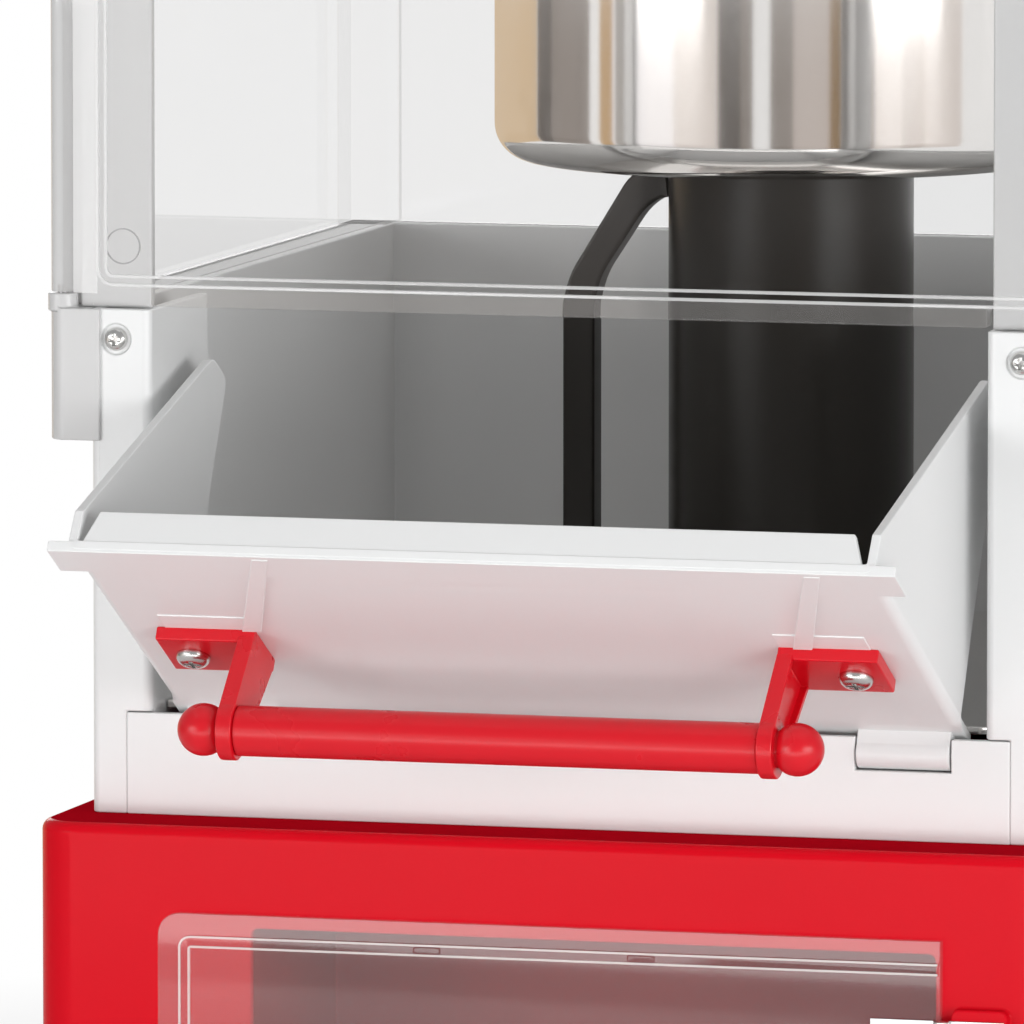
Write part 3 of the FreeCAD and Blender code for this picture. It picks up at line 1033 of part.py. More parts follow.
def make_lid_leaf(label, side, axis_x):
    """A half-round lid leaf with a long roll about its pin along the straight edge."""
    edge = f"{LID_OFFSET} + lid_roll_radius + lid_gap"
    beyond = "2 * kettle_radius"
    roll_y = (f"{KETTLE_Y} - lid_roll_half", f"{KETTLE_Y} + lid_roll_half")
    disc = kettle_rod(f"leaf_disc_{label}", "kettle_radius + lid_overlap", LID_LOW, "lid_thick")
    away = box(f"leaf_away_{label}", offset_pair("kettle_x", mirrored(side, f"-{beyond}", edge)),
               (f"{KETTLE_Y} - {beyond}", f"{KETTLE_Y} + {beyond}"),
               (f"{LID_LOW} - cut_over", f"{LID_LOW} + lid_thick + cut_over"))
    roll = rod(f"leaf_roll_{label}", "y", "lid_roll_radius", (axis_x, roll_y[0], LID_AXIS_Z),
               "2 * lid_roll_half")
    tie = box(f"leaf_tie_{label}", offset_pair("kettle_x", mirrored(side, LID_OFFSET, f"{edge} + lid_tie")),
              roll_y,
              (LID_LOW, f"{LID_LOW} + lid_thick"))
    bore = rod(f"leaf_bore_{label}", "y", "lid_pin_radius + lid_pin_fit",
               (axis_x, f"{roll_y[0]} - cut_over", LID_AXIS_Z),
               "2 * lid_roll_half + 2 * cut_over")
    blank = join(f"lid_blank_{label}", [remove(f"leaf_half_{label}", disc, [away]), roll, tie])
    node(f"lid_leaf_{label}", remove(f"lid_leaf_whole_{label}", blank, [bore]))


def make_lid():
    """Two-leaf lid: a fixed bridge across the rim with lugs, and a leaf hinged on each side of it."""
    half = "bridge_width / 2"
    made = [box("bridge_bar", (f"kettle_x - {half}", f"kettle_x + {half}"),
                (f"{KETTLE_Y} - kettle_radius", f"{KETTLE_Y} + kettle_radius"),
                (LID_LEVEL, f"{LID_LEVEL} + bridge_thick"))]
    lug_span = ("lid_roll_half + lid_gap", "lid_roll_half + lid_gap + lid_lug")
    pin_start = f"({KETTLE_Y} - ({lug_span[1]}))"
    pin_length = f"2 * ({lug_span[1]})"
    holes = []
    pins = []
    for label, side in SIDES.items():
        axis_x = f"kettle_x + {side} * {LID_OFFSET}"
        for end, sign in (("front", -1), ("back", 1)):
            y = offset_pair(KETTLE_Y, mirrored(sign, *lug_span))
            made.append(rod(f"bridge_eye_{label}_{end}", "y", "lid_roll_radius", (axis_x, y[0], LID_AXIS_Z),
                            "lid_lug"))
            made.append(box(f"bridge_lug_{label}_{end}",
                            offset_pair("kettle_x", mirrored(side, f"{half} - cut_over", LID_OFFSET)), y,
                            (LID_LEVEL, f"{LID_AXIS_Z} + lid_roll_radius")))
        holes.append(rod(f"bridge_hole_{label}", "y", "lid_pin_radius + press_gap",
                         (axis_x, f"{pin_start} - cut_over", LID_AXIS_Z), f"{pin_length} + 2 * cut_over"))
        pins.append(rod(f"lid_pin_{label}", "y", "lid_pin_radius", (axis_x, pin_start, LID_AXIS_Z),
                        pin_length))
        make_lid_leaf(label, side, axis_x)
    node("lid_bridge", remove("bridge_whole", join("bridge_blank", made), holes))
    node("lid_pins", group("lid_pin_set", pins))


def write_parts():
    """Check every object and sub-part, then write one file for each sub-part."""
    doc.recompute()
    for item in doc.Objects:
        if "Invalid" in item.State or "Error" in item.State:
            raise RuntimeError(f"{item.Name} failed: {item.State}")
    os.makedirs("parts", exist_ok=True)
    for label, item in NODES.items():
        shape = item.Shape
        if shape.isNull() or not shape.isValid() or not shape.Solids:
            raise RuntimeError(f"{label} has no valid solid")
        shape.exportStep(f"parts/{label}.step")
        print(f"{label}: {len(shape.Solids)} solid(s), {shape.Volume / 1000:.2f} cm3")


make_base()
make_base_plate()
make_bay_liner()
make_store_door()
make_store_hinges()
make_switches()
make_lead_inlet()
make_housing()
make_housing_screws()
make_fascia()
make_floor()
make_collar()
make_serving_door()
make_handle()
make_pillars()
make_panes()
make_window()
make_top()
make_roof()
make_lamp()
make_pedestal()
make_conduit()
make_drive()
make_kettle()
make_stirrer()
make_lid()
write_parts()
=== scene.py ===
"""Tabletop popcorn maker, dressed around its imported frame: red storage base, white popping chamber with an
open serving door, clear cabinet with a steel kettle on a pedestal, and a red roof."""
import bpy
import bmesh
import math
from mathutils import Matrix, Vector


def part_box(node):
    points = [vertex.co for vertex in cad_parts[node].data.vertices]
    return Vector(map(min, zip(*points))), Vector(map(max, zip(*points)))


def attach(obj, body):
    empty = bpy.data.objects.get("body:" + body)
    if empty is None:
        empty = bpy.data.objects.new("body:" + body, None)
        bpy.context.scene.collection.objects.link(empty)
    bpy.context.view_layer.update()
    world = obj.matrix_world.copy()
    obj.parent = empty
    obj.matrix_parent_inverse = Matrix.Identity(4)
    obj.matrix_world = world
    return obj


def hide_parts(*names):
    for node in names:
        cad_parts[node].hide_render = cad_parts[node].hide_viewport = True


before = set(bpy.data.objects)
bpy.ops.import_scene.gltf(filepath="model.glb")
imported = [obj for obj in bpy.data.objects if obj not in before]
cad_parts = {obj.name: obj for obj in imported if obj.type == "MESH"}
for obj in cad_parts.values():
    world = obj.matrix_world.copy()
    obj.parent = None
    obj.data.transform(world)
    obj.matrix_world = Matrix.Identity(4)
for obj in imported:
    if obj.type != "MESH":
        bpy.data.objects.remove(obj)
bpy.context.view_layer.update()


# Base
# One glossy red moulding with rounded corners, a softly rounded top edge and a duller deck, open below. The
# deck's red is painted darker as painted shade. The bay's mouth and two hinge pads are in its front wall, the
# switch well in its right wall and the lead's hole in its rear wall.
MM = 0.001
HAIR = 0.1 * MM  # tolerance of a test, or a set-back that keeps two faces apart
SEAT = 1 * MM  # how deep a raised detail reaches into what carries it
OVERCUT = 2 * MM  # how far a cutter reaches past what it cuts
STRAIGHT = 0.99  # least share of a direction that lies along an axis


def mm(*sizes):
    """A point or a span, given in millimetres."""
    return Vector(sizes) * MM


def noise(tree, place, scale, detail):
    """A noise over the object's own coordinates."""
    texture = tree.nodes.new("ShaderNodeTexNoise")
    texture.inputs["Scale"].default_value = scale
    texture.inputs["Detail"].default_value = detail
    tree.links.new(place.outputs["Object"], texture.inputs["Vector"])
    return texture.outputs["Fac"]


def moulded(name, colour, gloss, shine=0.5, drift=0.03, grain=0.000006, slot=None):
    """Moulded plastic: a slow drift of its colour, slightly uneven gloss and a faint orange-peel skin."""
    finish = bpy.data.materials.new(name)
    finish["slot"] = slot or name
    finish.use_nodes = True
    tree = finish.node_tree
    shader = tree.nodes["Principled BSDF"]
    shader.inputs["Specular IOR Level"].default_value = shine
    place = tree.nodes.new("ShaderNodeTexCoord")
    tone = tree.nodes.new("ShaderNodeMix")
    tone.data_type = "RGBA"
    tone.inputs["A"].default_value = [c * (1 - drift) for c in colour[:3]] + [1]
    tone.inputs["B"].default_value = [min(1, c * (1 + drift)) for c in colour[:3]] + [1]
    polish = tree.nodes.new("ShaderNodeMapRange")
    polish.inputs["To Min"].default_value = gloss * 0.9
    polish.inputs["To Max"].default_value = gloss * 1.1
    skin = tree.nodes.new("ShaderNodeBump")
    skin.inputs["Strength"].default_value = 0.3
    skin.inputs["Distance"].default_value = grain
    tree.links.new(noise(tree, place, scale=14, detail=3), tone.inputs["Factor"])
    tree.links.new(tone.outputs["Result"], shader.inputs["Base Color"])
    tree.links.new(noise(tree, place, scale=60, detail=4), polish.inputs["Value"])
    tree.links.new(polish.outputs["Result"], shader.inputs["Roughness"])
    tree.links.new(noise(tree, place, scale=1500, detail=1), skin.inputs["Height"])
    tree.links.new(skin.outputs["Normal"], shader.inputs["Normal"])
    return finish


def select_only(piece):
    """Makes a piece the only selected object."""
    bpy.ops.object.select_all(action="DESELECT")
    piece.select_set(True)
    bpy.context.view_layer.objects.active = piece


def settle(piece):
    """Takes a piece's place, turn and scale into its mesh."""
    select_only(piece)
    bpy.ops.object.transform_apply(location=True, rotation=True, scale=True)


def open_for_edit(piece):
    """Opens a piece for editing with all of it selected."""
    select_only(piece)
    bpy.ops.object.mode_set(mode="EDIT")
    bpy.ops.mesh.select_mode(type="VERT")
    bpy.ops.mesh.select_all(action="SELECT")


def close_outwards():
    """Turns all faces of the piece that is open outwards and ends its editing."""
    bpy.ops.mesh.select_all(action="SELECT")
    bpy.ops.mesh.normals_make_consistent(inside=False)
    bpy.ops.object.mode_set(mode="OBJECT")


def block(name, low, high):
    """A cube drawn out to two corners, with its place in its mesh."""
    low = Vector(low)
    high = Vector(high)
    bpy.ops.mesh.primitive_cube_add(size=1, location=(low + high) / 2)
    piece = bpy.context.object
    piece.name = name
    piece.scale = high - low
    settle(piece)
    return piece


def open_for_picks(piece, kind):
    """Opens a piece for editing with nothing selected, to pick edges or faces."""
    open_for_edit(piece)
    bpy.ops.mesh.select_mode(type=kind)
    bpy.ops.mesh.select_all(action="DESELECT")
    return bmesh.from_edit_mesh(piece.data)


def pick_edges(piece, chosen):
    """Opens a piece for editing with only the edges selected that a test picks by middle and direction."""
    mesh = open_for_picks(piece, "EDGE")
    for edge in mesh.edges:
        start, end = (corner.co for corner in edge.verts)
        edge.select_set(bool(chosen((start + end) / 2, (end - start).normalized())))
    bmesh.update_edit_mesh(piece.data)


def round_edges(piece, radius, chosen, segments=6):
    """Rounds the edges that a test picks, by a radius in millimetres."""
    pick_edges(piece, chosen)
    bpy.ops.mesh.bevel(offset=radius * MM, segments=segments, affect="EDGES")
    bpy.ops.object.mode_set(mode="OBJECT")


def along(axis):
    """A test for edges that run along an axis, 0, 1 or 2."""
    return lambda middle, run: abs(run[axis]) > STRAIGHT


def pick_faces(piece, chosen):
    """Opens a piece for editing with only the faces selected that a test picks by normal."""
    mesh = open_for_picks(piece, "FACE")
    for face in mesh.faces:
        face.select_set(bool(chosen(face.normal)))
    bmesh.update_edit_mesh(piece.data)


def drop_faces(piece, chosen):
    """Deletes the faces of a piece that a test picks by normal."""
    pick_faces(piece, chosen)
    bpy.ops.mesh.delete(type="FACE")
    bpy.ops.object.mode_set(mode="OBJECT")


def apply_modifier(piece, kind, **settings):
    """Adds a modifier with its settings and applies it."""
    modifier = piece.modifiers.new(kind, kind)
    for setting, value in settings.items():
        setattr(modifier, setting, value)
    select_only(piece)
    bpy.ops.object.modifier_apply(modifier=modifier.name)


def carve(piece, *blanks, operation="DIFFERENCE"):
    """Cuts blanks out of a piece and throws them away."""
    for blank in blanks:
        apply_modifier(piece, "BOOLEAN", object=blank, operation=operation, solver="EXACT")
        bpy.data.objects.remove(blank)


def weld(piece, *blanks):
    """Joins blanks onto a piece as one solid."""
    carve(piece, *blanks, operation="UNION")


def drawn(name, points):
    """A new piece, open for editing: a line through points, all of it selected."""
    bpy.ops.mesh.primitive_plane_add(size=MM, location=(0, 0, 0))
    piece = bpy.context.object
    piece.name = name
    open_for_edit(piece)
    bpy.ops.mesh.merge(type="CENTER")
    bpy.ops.transform.translate(value=points[0])
    for start, end in zip(points, points[1:]):
        bpy.ops.mesh.extrude_region_move(TRANSFORM_OT_translate={"value": end - start})
    bpy.ops.mesh.select_all(action="SELECT")
    return piece


def turned(name, profile, spot, axis=2, steps=64):
    """A round piece: a profile of (radius, reach along the axis) in millimetres, spun a full turn."""
    lengthwise = Vector([float(index == axis) for index in range(3)])
    outwards = Vector([float(index == (axis + 1) % 3) for index in range(3)])
    points = [Vector(spot) + (outwards * radius + lengthwise * reach) * MM for radius, reach in profile]
    piece = drawn(name, points)
    bpy.ops.mesh.spin(steps=steps, angle=math.tau, center=spot, axis=lengthwise)
    bpy.ops.mesh.select_all(action="SELECT")
    bpy.ops.mesh.remove_doubles(threshold=0.001 * MM)
    close_outwards()
    return piece


def rod(name, radius, start, reach, axis):
    """A plain round blank from a start point along an axis."""
    return turned(name, [(0, 0), (radius, 0), (radius, reach), (0, reach)], start, axis, steps=48)


def break_edges(piece, radius):
    """Breaks the sharp edges of a piece with a small round, by a radius in millimetres."""
    apply_modifier(piece, "BEVEL", width=radius * MM, segments=3, limit_method="ANGLE",
                   angle_limit=math.radians(35), use_clamp_overlap=False)
    return piece


def even_shading(piece):
    """Shades a piece smooth over its rounds and keeps its flat faces flat in the light."""
    select_only(piece)
    bpy.ops.object.shade_smooth_by_angle(angle=math.radians(32))
    apply_modifier(piece, "WEIGHTED_NORMAL", keep_sharp=True)


def finish_edges(piece, radius):
    """Breaks the sharp edges of a piece, unless the radius is 0, and evens its shading."""
    if radius:
        break_edges(piece, radius)
    even_shading(piece)


def dress(piece, finish, body, *nodes):
    """Gives a piece its finish, the body that it rides on and the CAD nodes that it stands for."""
    piece.data.materials.clear()
    piece.data.materials.append(finish)
    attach(piece, body)
    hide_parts(*nodes)


RED = (0.63, 0.004, 0.013, 1)
# painted shade: the deck's top is the base red made darker, for the shade that lies on it
SHADED_DECK_RED = (0.46, 0.003, 0.011, 1)
BASE_WALL = 3 * MM
BASE_CORNER = 12
BASE_TOP_ROUND = 3
BASE_EDGE = 0.6
LINER_WALL = 2 * MM
MOUTH_CORNER = 2
WELL_DEPTH = 6 * MM
WELL_MARGIN = 2 * MM
INLET_RADIUS = 8
INLET_START = 6 * MM
INLET_REACH = 9
HINGE_HEIGHT = 20 * MM
PAD_MARGIN = 2.8 * MM
PAD_LEFT = 111 * MM
PAD_WIDTH = 15 * MM
PAD_CORNER = 2
red_plastic = moulded("red_plastic", RED, gloss=0.17, shine=0.06, grain=0.000003)
shaded_deck_red = moulded("shaded_deck_red", SHADED_DECK_RED, gloss=0.5, shine=0, grain=0.000003, slot="red_plastic")
deck_low, deck_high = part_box("base_deck")
shell_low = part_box("base_shell")[0]
liner_low, liner_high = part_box("bay_liner")
switch_low, switch_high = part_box("switch_block")
inlet_low, inlet_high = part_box("lead_inlet")
leaves_low, leaves_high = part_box("storage_hinge_base_leaves")
base = block("base", (deck_low.x, deck_low.y, shell_low.z), deck_high)
round_edges(base, BASE_CORNER, along(2), segments=12)
round_edges(base, BASE_TOP_ROUND, lambda middle, run: middle.z > deck_high.z - HAIR)
drop_faces(base, lambda normal: normal.z < -STRAIGHT)
apply_modifier(base, "SOLIDIFY", thickness=BASE_WALL, offset=-1)
mouth = block("bay_mouth", (liner_low.x + LINER_WALL, deck_low.y - OVERCUT, liner_low.z + LINER_WALL),
              (liner_high.x - LINER_WALL, deck_low.y + BASE_WALL + OVERCUT, liner_high.z - LINER_WALL))
round_edges(mouth, MOUTH_CORNER, along(1), segments=4)
well = block("switch_well",
             (deck_high.x - WELL_DEPTH, switch_low.y + WELL_MARGIN, switch_low.z + WELL_MARGIN),
             (deck_high.x + OVERCUT, switch_high.y - WELL_MARGIN, switch_high.z - WELL_MARGIN))
inlet_middle = (inlet_low + inlet_high) / 2
inlet_spot = (inlet_middle.x, deck_high.y - INLET_START, inlet_middle.z)
carve(base, mouth, well, rod("inlet_hole", INLET_RADIUS, inlet_spot, INLET_REACH, 1))
for hinge_low in (leaves_low.z, leaves_high.z - HINGE_HEIGHT):
    pad = block("hinge_pad", (PAD_LEFT, shell_low.y, hinge_low - PAD_MARGIN),
                (PAD_LEFT + PAD_WIDTH, deck_low.y + SEAT, hinge_low + HINGE_HEIGHT + PAD_MARGIN))
    round_edges(pad, PAD_CORNER, along(1), segments=4)
    weld(base, pad)
finish_edges(base, BASE_EDGE)
dress(base, red_plastic, "cabinet", "base_shell", "base_deck")
# the deck's upward faces get the darker red of painted shade
base.data.materials.append(shaded_deck_red)
for polygon in base.data.polygons:
    if polygon.normal.z > STRAIGHT and polygon.center.z > deck_high.z - HAIR:
        polygon.material_index = 1


# Base plate, its screws and the rubber feet
# A flat black plate closes the base from below, held by four zinc screws, and stands on four turned rubber
# feet, each with a dimple below.
def placed(name, data):
    """A new object of the scene."""
    thing = bpy.data.objects.new(name, data)
    bpy.context.scene.collection.objects.link(thing)
    return thing


def softened(node, radius, finish, body="cabinet"):
    """A welded copy of a CAD node with broken edges, in its finish, which stands for the node."""
    piece = placed(node + "_piece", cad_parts[node].data.copy())
    select_only(piece)
    bpy.ops.mesh.customdata_custom_splitnormals_clear()
    open_for_edit(piece)
    bpy.ops.mesh.remove_doubles(threshold=0.002 * MM)
    bpy.ops.mesh.dissolve_limited(angle_limit=math.radians(0.6))
    bpy.ops.object.mode_set(mode="OBJECT")
    finish_edges(piece, radius)
    dress(piece, finish, body, node)


def metal(name, colour, gloss):
    """Bare metal with a slow drift of its tone and a slightly uneven polish."""
    finish = moulded(name, colour, gloss, drift=0.04, grain=0.000002)
    finish.node_tree.nodes["Principled BSDF"].inputs["Metallic"].default_value = 1
    return finish


def arc(centre, radius, start, end, steps):
    """Points of a profile along an arc, between two angles in degrees."""
    turns = [math.radians(start + (end - start) * step / steps) for step in range(steps + 1)]
    return [(centre[0] + radius * math.cos(turn), centre[1] + radius * math.sin(turn)) for turn in turns]


def joined(pieces, name):
    """Like pieces joined under one name."""
    bpy.ops.object.select_all(action="DESELECT")
    for piece in pieces:
        piece.select_set(True)
    bpy.context.view_layer.objects.active = pieces[0]
    bpy.ops.object.join()
    pieces[0].name = name
    return pieces[0]


def copies(piece, name, spots):
    """Like pieces at several spots, each with a mesh of its own, joined under one name."""
    made = []
    for spot in spots:
        made.append(placed(name, piece.data.copy()))
        made[-1].data.transform(Matrix.Translation(spot))
    bpy.data.objects.remove(piece)
    return joined(made, name)


FOOT_RADIUS = 11
FOOT_FLAT = 9.2
FOOT_ROUND = 1.2
FOOT_FLARE = 4
DIMPLE_DEPTH = 1
DIMPLE_TOP = 3
DIMPLE_MOUTH = 3.6
black_plastic = moulded("black_plastic", (0.020, 0.017, 0.014, 1), gloss=0.3, shine=0.3, grain=0.000001)
rubber = moulded("rubber", (0.03, 0.03, 0.03, 1), gloss=0.7, grain=0.00003)
zinc = metal("zinc_screw", (0.66, 0.66, 0.65, 1), gloss=0.24)
softened("base_plate", 0.4, black_plastic)
softened("base_plate_screws", 0.2, zinc)
feet_low, feet_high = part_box("rubber_feet")
foot_height = feet_high.z / MM
foot_profile = [(0, DIMPLE_DEPTH), (DIMPLE_TOP, DIMPLE_DEPTH), (DIMPLE_MOUTH, 0), (FOOT_FLAT, 0),
                *arc((FOOT_FLAT, FOOT_ROUND), FOOT_ROUND, -90, 0, 4), (FOOT_RADIUS, FOOT_FLARE),
                (FOOT_RADIUS, foot_height), (0, foot_height)]
foot = turned("foot", foot_profile, (0, 0, 0))
even_shading(foot)
foot_spots = [Vector((x, y, 0)) for x in (feet_low.x + FOOT_RADIUS * MM, feet_high.x - FOOT_RADIUS * MM)
              for y in (feet_low.y + FOOT_RADIUS * MM, feet_high.y - FOOT_RADIUS * MM)]
dress(copies(foot, "rubber_feet_piece", foot_spots), rubber, "cabinet", "rubber_feet")


# Bay liner
# A dull red box that lines the storage bay behind the door; its red is painted dark as painted shade inside
# the bay. It is formed from thin plastic sheet and fixed behind the front wall, round the bay's mouth.
# painted shade: the liner's red is darkened for the shade inside the bay
shaded_bay_red = moulded("shaded_bay_red", (0.30, 0.012, 0.012, 1), gloss=0.6, shine=0.1, grain=0, slot="red_plastic")
softened("bay_liner", 0.5, shaded_bay_red)


# Storage door and its knob
# A clear polystyrene door with a raised rib along its top, left and bottom, and two small tabs on the rib.
# Thin pale beads along the rib's two edges are painted highlights. It is held by two hinges at its right and
# has a turned white knob.
def worked_out(tree, operation, first, second):
    """The result of a maths node on two sockets, or on a socket and a number."""
    node = tree.nodes.new("ShaderNodeMath")
    node.operation = operation
    for socket, source in zip(node.inputs, (first, second)):
        if isinstance(source, bpy.types.NodeSocket):
            tree.links.new(source, socket)
        else:
            socket.default_value = source
    return node.outputs[0]


def blended(tree, share, first, second):
    """Gives a material's surface the first shader, and the second by a share."""
    mix = tree.nodes.new("ShaderNodeMixShader")
    tree.links.new(share, mix.inputs["Fac"])
    tree.links.new(first, mix.inputs[1])
    tree.links.new(second, mix.inputs[2])
    tree.links.new(mix.outputs["Shader"], tree.nodes["Material Output"].inputs["Surface"])


def clear(name, colour, veil):
    """Clear plastic with a gloss skin: it lets lamps through and a milky veil may lie over its front."""
    finish = moulded(name, colour, gloss=0.03, drift=0.01, grain=0.0000005, slot="clear_plastic")
    tree = finish.node_tree
    shader = tree.nodes["Principled BSDF"]
    shader.inputs["Transmission Weight"].default_value = 1 - veil
    shader.inputs["IOR"].default_value = 1.002
    shader.inputs["Coat Weight"].default_value = 1
    shader.inputs["Coat Roughness"].default_value = 0.03
    path = tree.nodes.new("ShaderNodeLightPath")
    side = tree.nodes.new("ShaderNodeNewGeometry")
    through = tree.nodes.new("ShaderNodeBsdfTransparent")
    lighting = worked_out(tree, "MAXIMUM", path.outputs["Is Shadow Ray"], path.outputs["Is Diffuse Ray"])
    passing = worked_out(tree, "MAXIMUM", lighting, side.outputs["Backfacing"])
    blended(tree, passing, shader.outputs["BSDF"], through.outputs["BSDF"])
    return finish


def left_corners(middle, run):
    """A test for the edges from front to back in the left half."""
    return abs(run.y) > STRAIGHT and middle.x < 0


def inset_plate(name, inset, near, far, end, corner=0):
    """A plate over the storage door, inset from its top, left and bottom, from a near to a far level."""
    plate = block(name, (store_low.x + inset, near, store_low.z + inset), (end, far, store_high.z - inset))
    if corner:
        round_edges(plate, corner, left_corners)
    return plate


def painted_rib_highlight(name, inset, corner):
    """A thin pale bead along one edge of the storage door's rib, open to the right: a painted highlight."""
    bead = inset_plate(name, inset, store_low.y - LINE_PROUD, face - HAIR, store_high.x - LINE_END, corner)
    core = inset_plate("line_core", inset + LINE_WIDTH * MM, store_low.y - OVERCUT, face + OVERCUT,
                       store_high.x + OVERCUT, corner - LINE_WIDTH)
    carve(bead, core)
    finish_edges(bead, LINE_EDGE)
    dress(bead, rib_highlight_veil, "storage_door", "storage_door")


def knob(node, grip, body):
    """A turned knob that stands out from its seat: a grip with a soft rim on a narrow neck with a stud."""
    low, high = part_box(node)
    middle = (low + high) / 2
    reach = (high.y - low.y) / MM
    profile = [(0, KNOB_HOLLOW), (grip * KNOB_FLAT, 0),
               *arc((grip - KNOB_FRONT, KNOB_FRONT), KNOB_FRONT, -90, 0, 5),
               *arc((grip - KNOB_BACK, NECK_START - KNOB_BACK), KNOB_BACK, 0, 90, 4),
               *arc((KNOB_NECK + KNOB_FILLET, NECK_START + KNOB_FILLET), KNOB_FILLET, -90, -180, 3),
               (KNOB_NECK, reach - STUD_REACH), (STUD, reach - STUD_REACH), (STUD, reach), (0, reach)]
    piece = turned(node + "_piece", profile, (middle.x, low.y, middle.z), 1)
    even_shading(piece)
    dress(piece, white_knob, body, node)


STORE_THICK = 3 * MM
STORE_CORNER = 6
STORE_EDGE = 0.25
RIB_INSET = 6 * MM
RIB_WIDTH = 3 * MM
RIB_CORNER = 3
RIB_END = 0.4 * MM
TABS = (-30 * MM, 28 * MM)
TAB_HALF_LENGTH = 3.6 * MM
TAB_HALF_WIDTH = 0.9 * MM
TAB_PROUD = 0.25 * MM
TAB_DEEP = 0.4 * MM
TAB_CORNER = 0.85
LINE_WIDTH = 0.6
LINE_PROUD = 0.15 * MM
LINE_END = 0.6 * MM
LINE_EDGE = 0.12
KNOB_HOLLOW = 0.2
KNOB_FLAT = 0.55
KNOB_FRONT = 1.6
KNOB_BACK = 1.2
KNOB_FILLET = 0.8
KNOB_NECK = 3.5
NECK_START = 6
STUD = 2
STUD_REACH = 3
clear_plastic = clear("clear_plastic", (0.85, 0.85, 0.85, 1), veil=0)
door_plastic = clear("storage_door_plastic", (0.62, 0.60, 0.60, 1), veil=0.11)
# painted highlight: a milky pale veil that makes the rib's edge beads read as light catching them
rib_highlight_veil = clear("storage_door_rib_highlight", (0.78, 0.72, 0.70, 1), veil=0.75)
white_knob = moulded("knob_white", (0.78, 0.78, 0.77, 1), gloss=0.25)
store_low, store_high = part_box("storage_door")
face = store_high.y - STORE_THICK
store_door = block("storage_door_piece", (store_low.x, face, store_low.z), store_high)
round_edges(store_door, STORE_CORNER, left_corners, segments=8)
rib = inset_plate("store_rib", RIB_INSET, store_low.y, face + SEAT, store_high.x - RIB_END, RIB_CORNER)
inside = inset_plate("rib_inside", RIB_INSET + RIB_WIDTH, store_low.y - OVERCUT, face + OVERCUT,
                     store_high.x + OVERCUT)
carve(rib, inside)
weld(store_door, rib)
tab_height = store_high.z - RIB_INSET - RIB_WIDTH / 2
for tab_x in TABS:
    tab = block("rib_tab", (tab_x - TAB_HALF_LENGTH, store_low.y - TAB_PROUD, tab_height - TAB_HALF_WIDTH),
                (tab_x + TAB_HALF_LENGTH, store_low.y + TAB_DEEP, tab_height + TAB_HALF_WIDTH))
    round_edges(tab, TAB_CORNER, along(1), segments=4)
    weld(store_door, tab)
finish_edges(store_door, STORE_EDGE)
dress(store_door, door_plastic, "storage_door", "storage_door")
painted_rib_highlight("storage_rib_highlight_outer", RIB_INSET - HAIR, corner=3.2)
painted_rib_highlight("storage_rib_highlight_inner", RIB_INSET + RIB_WIDTH - LINE_WIDTH * MM + HAIR, corner=0.9)
knob("storage_knob", grip=6.5, body="storage_door")


# Storage hinges
# Two leaf hinges folded from thin steel, with knuckles rolled round a pin each. One leaf is screwed to the
# door and the other to its pad on the base, with small pan-head screws.
hinge_steel = metal("hinge_steel", (0.62, 0.63, 0.64, 1), gloss=0.25)
softened("storage_hinge_door_leaves", 0.15, hinge_steel, "storage_door")
softened("storage_hinge_base_leaves", 0.15, hinge_steel)
softened("storage_hinge_pins", 0.15, zinc)
softened("storage_hinge_door_screws", 0.4, zinc, "storage_door")
softened("storage_hinge_base_screws", 0.4, zinc)


# Switch block and rockers
# A black moulded bezel clipped into the well in the base's right wall. Two red rockers tip in it, one for
# heat and one for light.
rocker_red = moulded("red_rocker", (0.5, 0.01, 0.015, 1), gloss=0.22)
softened("switch_block", 0.4, black_plastic)
softened("heat_rocker", 0.6, rocker_red, "heat_rocker")
softened("light_rocker", 0.6, rocker_red, "light_rocker")


# Lead inlet
# A short black bush, moulded in one piece, through which the power lead enters the base. It is snapped into
# the hole in the rear wall.
softened("lead_inlet", 0.5, black_plastic)


# Chamber housing
# The white walls of the popping chamber in one plastic moulding, open in front, with a deep return on each
# side of the opening. It stands on the base's deck.
WHITE = (0.797, 0.804, 0.804, 1)
white_plastic = moulded("white_plastic", WHITE, gloss=0.32, drift=0.012)
softened("chamber_housing", 0.5, white_plastic)


# Front fascia and hinge pins
# The white moulded strip under the serving door, between the housing's returns. Its two notches leave room
# for the door's knuckles, and the bosses beside them hold the steel pins that the door turns on.
def span(side, near, far):
    """A span on the right (side 1) or its mirror on the left (side -1), in rising order."""
    return sorted((side * near, side * far))


FASCIA_GAP = 0.25 * MM
FASCIA_THICK = 3 * MM
FASCIA_TOP = 179 * MM
FASCIA_EDGE = 0.35
NOTCH = (78.5 * MM, 104.5 * MM)
NOTCH_FLOOR = 4.3 * MM
LEDGE_LAP = 2 * MM
LEDGE_FRONT = 1.5 * MM
LEDGE_BACK = 9 * MM
LEDGE_THICK = 2.5 * MM
BOSS_RADIUS = 3.5
BOSS_REACH = 5
BOSS_BACK = 0.6 * MM
pin_steel = metal("steel_pin", (0.5, 0.5, 0.5, 1), gloss=0.2)
fascia_low, fascia_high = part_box("front_fascia")
pins_low, pins_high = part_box("serving_door_pins")
housing_low, housing_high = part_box("chamber_housing")
hinge_line = Vector((0, (pins_low.y + pins_high.y) / 2, (pins_low.z + pins_high.z) / 2))
notch_low = hinge_line.z - NOTCH_FLOOR
front = housing_low.y
fascia = block("front_fascia_piece", (fascia_low.x - FASCIA_GAP, front, fascia_low.z),
               (fascia_high.x + FASCIA_GAP, front + FASCIA_THICK, FASCIA_TOP))
for side in (-1, 1):
    near, far = span(side, *NOTCH)
    notch = block("fascia_notch", (near, front - OVERCUT, notch_low),
                  (far, front + FASCIA_THICK + OVERCUT, FASCIA_TOP + OVERCUT))
    carve(fascia, notch)
break_edges(fascia, FASCIA_EDGE)
